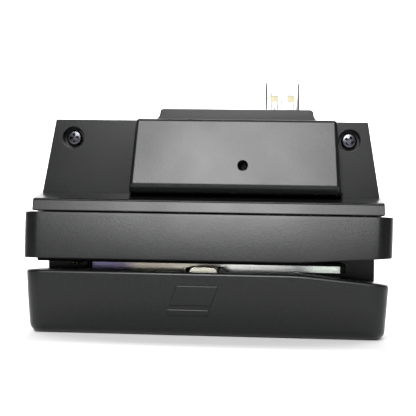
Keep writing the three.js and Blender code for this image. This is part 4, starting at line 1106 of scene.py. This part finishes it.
def painted_reflection_steel():
    """Polished sheet whose colour carries painted reflections: dark, bright and greenish bands
    along its length.
    """
    recipe = Recipe("polished_steel")
    split = recipe.add("ShaderNodeSeparateXYZ")
    recipe.link(recipe.where, split.inputs["Vector"])
    low, high = (corner.x * MM for corner in span("wear_strip"))
    drift = recipe.add("ShaderNodeMath", operation="MULTIPLY_ADD")
    recipe.link(recipe.noise(90, 2.0, 0.5), drift.inputs[0])
    drift.inputs[1].default_value = PAINTED_REFLECTION_DRIFT
    recipe.link(split.outputs["X"], drift.inputs[2])
    along = recipe.spread(drift.outputs["Value"], 0, 1, low, high)
    # The painted reflection bands become the strip's base colour.
    painted_reflection_ramp = recipe.add("ShaderNodeValToRGB")
    ramp = painted_reflection_ramp.color_ramp
    for index, (place, colour) in enumerate(STEEL_PAINTED_REFLECTIONS):
        stop = ramp.elements[index] if index < 2 else ramp.elements.new(place)
        stop.position = place
        stop.color = (*colour, 1)
    recipe.link(along, painted_reflection_ramp.inputs["Fac"])
    recipe.drive("Base Color", painted_reflection_ramp.outputs["Color"])
    lines = recipe.noise(1500, 3.0, 0.6, recipe.stretch((0.05, 1, 1)))
    recipe.drive("Roughness", recipe.spread(lines, 0.12, 0.24))
    recipe.drive("Normal", recipe.bump(lines, 0.12, 0.00002))
    recipe.set(Metallic=1.0)
    return recipe.material


def solder_mask():
    recipe = Recipe("board_green")
    cells = recipe.add("ShaderNodeTexVoronoi", feature="DISTANCE_TO_EDGE")
    cells.inputs["Scale"].default_value = 260
    recipe.link(recipe.where, cells.inputs["Vector"])
    tracks = cells.outputs["Distance"]
    recipe.drive("Base Color", recipe.ramp(tracks, (0.05, 0.2, 0.1), (0.02, 0.1, 0.05), 0.04, 0.09))
    recipe.drive("Normal", recipe.bump(tracks, 0.3, 0.00003))
    recipe.drive("Roughness", recipe.spread(recipe.noise(300), 0.3, 0.45))
    return recipe.material


def ribbon_cable():
    recipe = Recipe("cable_grey")
    wave = recipe.add("ShaderNodeTexWave", bands_direction="X")
    wave.inputs["Scale"].default_value = 160
    recipe.link(recipe.where, wave.inputs["Vector"])
    stripes = wave.outputs["Fac"]
    recipe.drive("Base Color", recipe.ramp(stripes, (0.2, 0.21, 0.22), (0.42, 0.43, 0.44)))
    recipe.drive("Normal", recipe.bump(stripes, 0.5, 0.0001))
    recipe.drive("Roughness", recipe.spread(recipe.noise(400), 0.45, 0.6))
    return recipe.material


PLASTICS = {  # dark colour, light colour, lowest and highest roughness, grain
    "case_black": ((0.0042, 0.0045, 0.0049), (0.0085, 0.0089, 0.0094), 0.28, 0.34, 0.3),
    "inner_black": ((0.003, 0.003, 0.0033), (0.006, 0.006, 0.0065), 0.3, 0.38, 0.2),
    "cream_plastic": ((0.5, 0.45, 0.29), (0.6, 0.55, 0.38), 0.35, 0.45, 0.1),
    "chip_black": ((0.015, 0.015, 0.015), (0.03, 0.03, 0.03), 0.45, 0.55, 0.3),
}
METALS = {  # dark colour, light colour, lowest and highest roughness, scratch, stretch of the lines
    "screw_black": ((0.05, 0.05, 0.058), (0.1, 0.1, 0.115), 0.2, 0.32, 0.2, (1, 1, 1)),
    "screw_zinc": ((0.5, 0.52, 0.55), (0.7, 0.71, 0.72), 0.2, 0.35, 0.2, (1, 1, 1)),
    "nickel": ((0.8, 0.79, 0.76), (0.9, 0.89, 0.87), 0.1, 0.2, 0.1, (1, 1, 0.08)),
    "spring_steel": ((0.4, 0.4, 0.4), (0.6, 0.6, 0.58), 0.25, 0.4, 0.2, (0.1, 1, 1)),
    "gold_contact": ((0.8, 0.5, 0.16), (0.95, 0.66, 0.28), 0.15, 0.28, 0.1, (1, 1, 1)),
    "head_metal": ((0.62, 0.59, 0.5), (0.8, 0.77, 0.68), 0.16, 0.28, 0.2, (0.1, 1, 1)),
}
MATERIALS = {name: moulded_plastic(name, *finish) for name, finish in PLASTICS.items()}
MATERIALS.update({name: plated_metal(name, *finish) for name, finish in METALS.items()})
MATERIALS["polished_steel"] = painted_reflection_steel()
MATERIALS["board_green"] = solder_mask()
MATERIALS["cable_grey"] = ribbon_cable()


# ---------------------------------------------------------------- assembling the visual model
def install(piece, node):
    """A new piece takes the place, body and finish of a CAD node."""
    piece.data.materials.clear()
    piece.data.materials.append(MATERIALS[SLOT_OF[node]])
    for polygon in piece.data.polygons:
        polygon.material_index = 0
    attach(piece, BODY_OF[node])
    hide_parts(node)


REBUILT = {
    "lower_wing": lower_wing,
    "upper_wing": upper_wing,
    "mount_housing": mount_housing,
    "rear_plate": rear_plate,
    "bottom_cover": bottom_cover,
    "usb_shell": plug_shell,
    "wear_strip": wear_strip,
}
for node, make in REBUILT.items():
    install(make(), node)

SCREW_SIZES = {  # head radius, head height, shank radius, thread pitch
    "flange_screw": (2.75, 2.1, 1.45, 0.5),
    "block_screw": (1.5, 1.3, 0.8, 0.4),
    "stack_screw": (2.6, 2.0, 1.3, 0.5),
    "cover_screw": (2.0, 1.0, 0.8, 0.4),
    "plate_screw": (2.0, 1.0, 0.8, 0.4),
    "spring_screw": (2.0, 1.0, 0.8, 0.4),
}
SCREW_TURN = 37  # degrees from one screw's cross to the next
for index, node in enumerate(sorted(frame["nodes"])):
    kind = "_".join(node.split("_")[:2])
    if kind in SCREW_SIZES:
        install(screw_from(node, *SCREW_SIZES[kind], SCREW_TURN * index % 90), node)

SOFTENED = {  # width of the rounded edges
    "head_can": 0.25, "head_shroud": 0.15, "head_bracket": 0.1, "upper_guide": 0.2,
    "usb_insulator": 0.15, "decoder_chip": 0.15, "crystal": 0.5, "head_connector": 0.15,
    "slot_rail": 0.15, "contact_block": 0.1,
}
for node, width in SOFTENED.items():
    install(softened(node, width), node)

for node, piece in frame["nodes"].items():
    if not piece.hide_render:
        piece.data.materials.clear()
        piece.data.materials.append(MATERIALS[SLOT_OF[node]])


# ---------------------------------------------------------------- camera, floor and light
FRAME_WIDTH = 416.0
FOCAL_LENGTH = 918.2  # in the frame's own units
SENSOR_WIDTH = 36.0
CAMERA_PLACE = Vector((21.31, FLANGE_FRONT - 316.49, 30.57))
CAMERA_YAW, CAMERA_PITCH, CAMERA_ROLL = 3.896, 2.274, 1.113
WALL_POWER = 22
ROOM_LEVEL = 0.1
SOFTBOX_AIM = Vector((10, 0, 40))
SOFTBOX_DISTANCE = 800
SOFTBOX_LEFT = 0.055  # of the distance
SOFTBOX_SIZE = 260, 180
SOFTBOXES = (("upper_softbox", 36, 4.1), ("lower_softbox", 22, 3.7))  # elevation, power
WHITE = (1, 1, 1, 1)
PALE = (0.86, 0.86, 0.86, 1)


def build_camera():
    """Nearly level, a little to the right of the middle and close to the slot's height."""
    data = bpy.data.cameras.new("camera")
    camera = bpy.data.objects.new("camera", data)
    bpy.context.scene.collection.objects.link(camera)
    data.sensor_width = SENSOR_WIDTH
    data.lens = SENSOR_WIDTH * FOCAL_LENGTH / FRAME_WIDTH
    data.clip_start = 0.01
    camera.location = CAMERA_PLACE * MM
    yaw, pitch, roll = (math.radians(a) for a in (CAMERA_YAW, CAMERA_PITCH, CAMERA_ROLL))
    aim = Matrix.Rotation(yaw, 4, "Z") @ Matrix.Rotation(math.pi / 2 + pitch, 4, "X")
    camera.rotation_euler = (aim @ Matrix.Rotation(roll, 4, "Z")).to_euler()
    bpy.context.scene.camera = camera


def build_stage():
    """A pale floor that sweeps up into a wall well behind the object."""
    near, turn, radius, high, half = -1500, 500, 300, 1500, 2500
    path = [(near, 0), (turn, 0)]
    for angle in range(6, 91, 6):
        rise = math.radians(angle)
        path.append((turn + radius * math.sin(rise), radius - radius * math.cos(rise)))
    path.append((turn + radius, high))
    vertices = [(side * half, y, z) for y, z in path for side in (-1, 1)]
    faces = [(2 * i, 2 * i + 1, 2 * i + 3, 2 * i + 2) for i in range(len(path) - 1)]
    sweep = mesh_object("sweep", vertices, faces)
    sweep.data.shade_smooth()
    recipe = Recipe("sweep_pale")
    recipe.set(Base_Color=PALE, Roughness=0.9)
    sweep.data.materials.append(recipe.material)


def area_light(name, place, aim, size, power):
    """A rectangular lamp at a place, turned towards another."""
    data = bpy.data.lights.new(name, "AREA")
    data.shape = "RECTANGLE"
    data.size, data.size_y, data.energy = size[0] * MM, size[1] * MM, power
    lamp = bpy.data.objects.new(name, data)
    bpy.context.scene.collection.objects.link(lamp)
    lamp.location = Vector(place) * MM
    direction = Vector(aim) - Vector(place)
    lamp.rotation_euler = direction.to_track_quat("-Z", "Y").to_euler()


def build_world():
    """Even, dim light from the rest of the room."""
    world = bpy.data.worlds.new("studio_room")
    world.use_nodes = True
    background = world.node_tree.nodes["Background"]
    background.inputs["Color"].default_value = WHITE
    background.inputs["Strength"].default_value = ROOM_LEVEL
    bpy.context.scene.world = world


def build_light():
    """Two soft boxes over the camera, one above the other, and a wash on the wall behind."""
    for name, elevation, power in SOFTBOXES:
        rise = math.radians(elevation)
        towards = Vector((-SOFTBOX_LEFT, -math.cos(rise), math.sin(rise)))
        place = SOFTBOX_AIM + SOFTBOX_DISTANCE * towards
        area_light(name, place, SOFTBOX_AIM, SOFTBOX_SIZE, power)
    area_light("wall_wash", (0, 330, 700), (0, 800, 250), (1600, 200), WALL_POWER)


build_camera()
build_stage()
build_world()
build_light()
bpy.context.scene.view_settings.view_transform = "Standard"
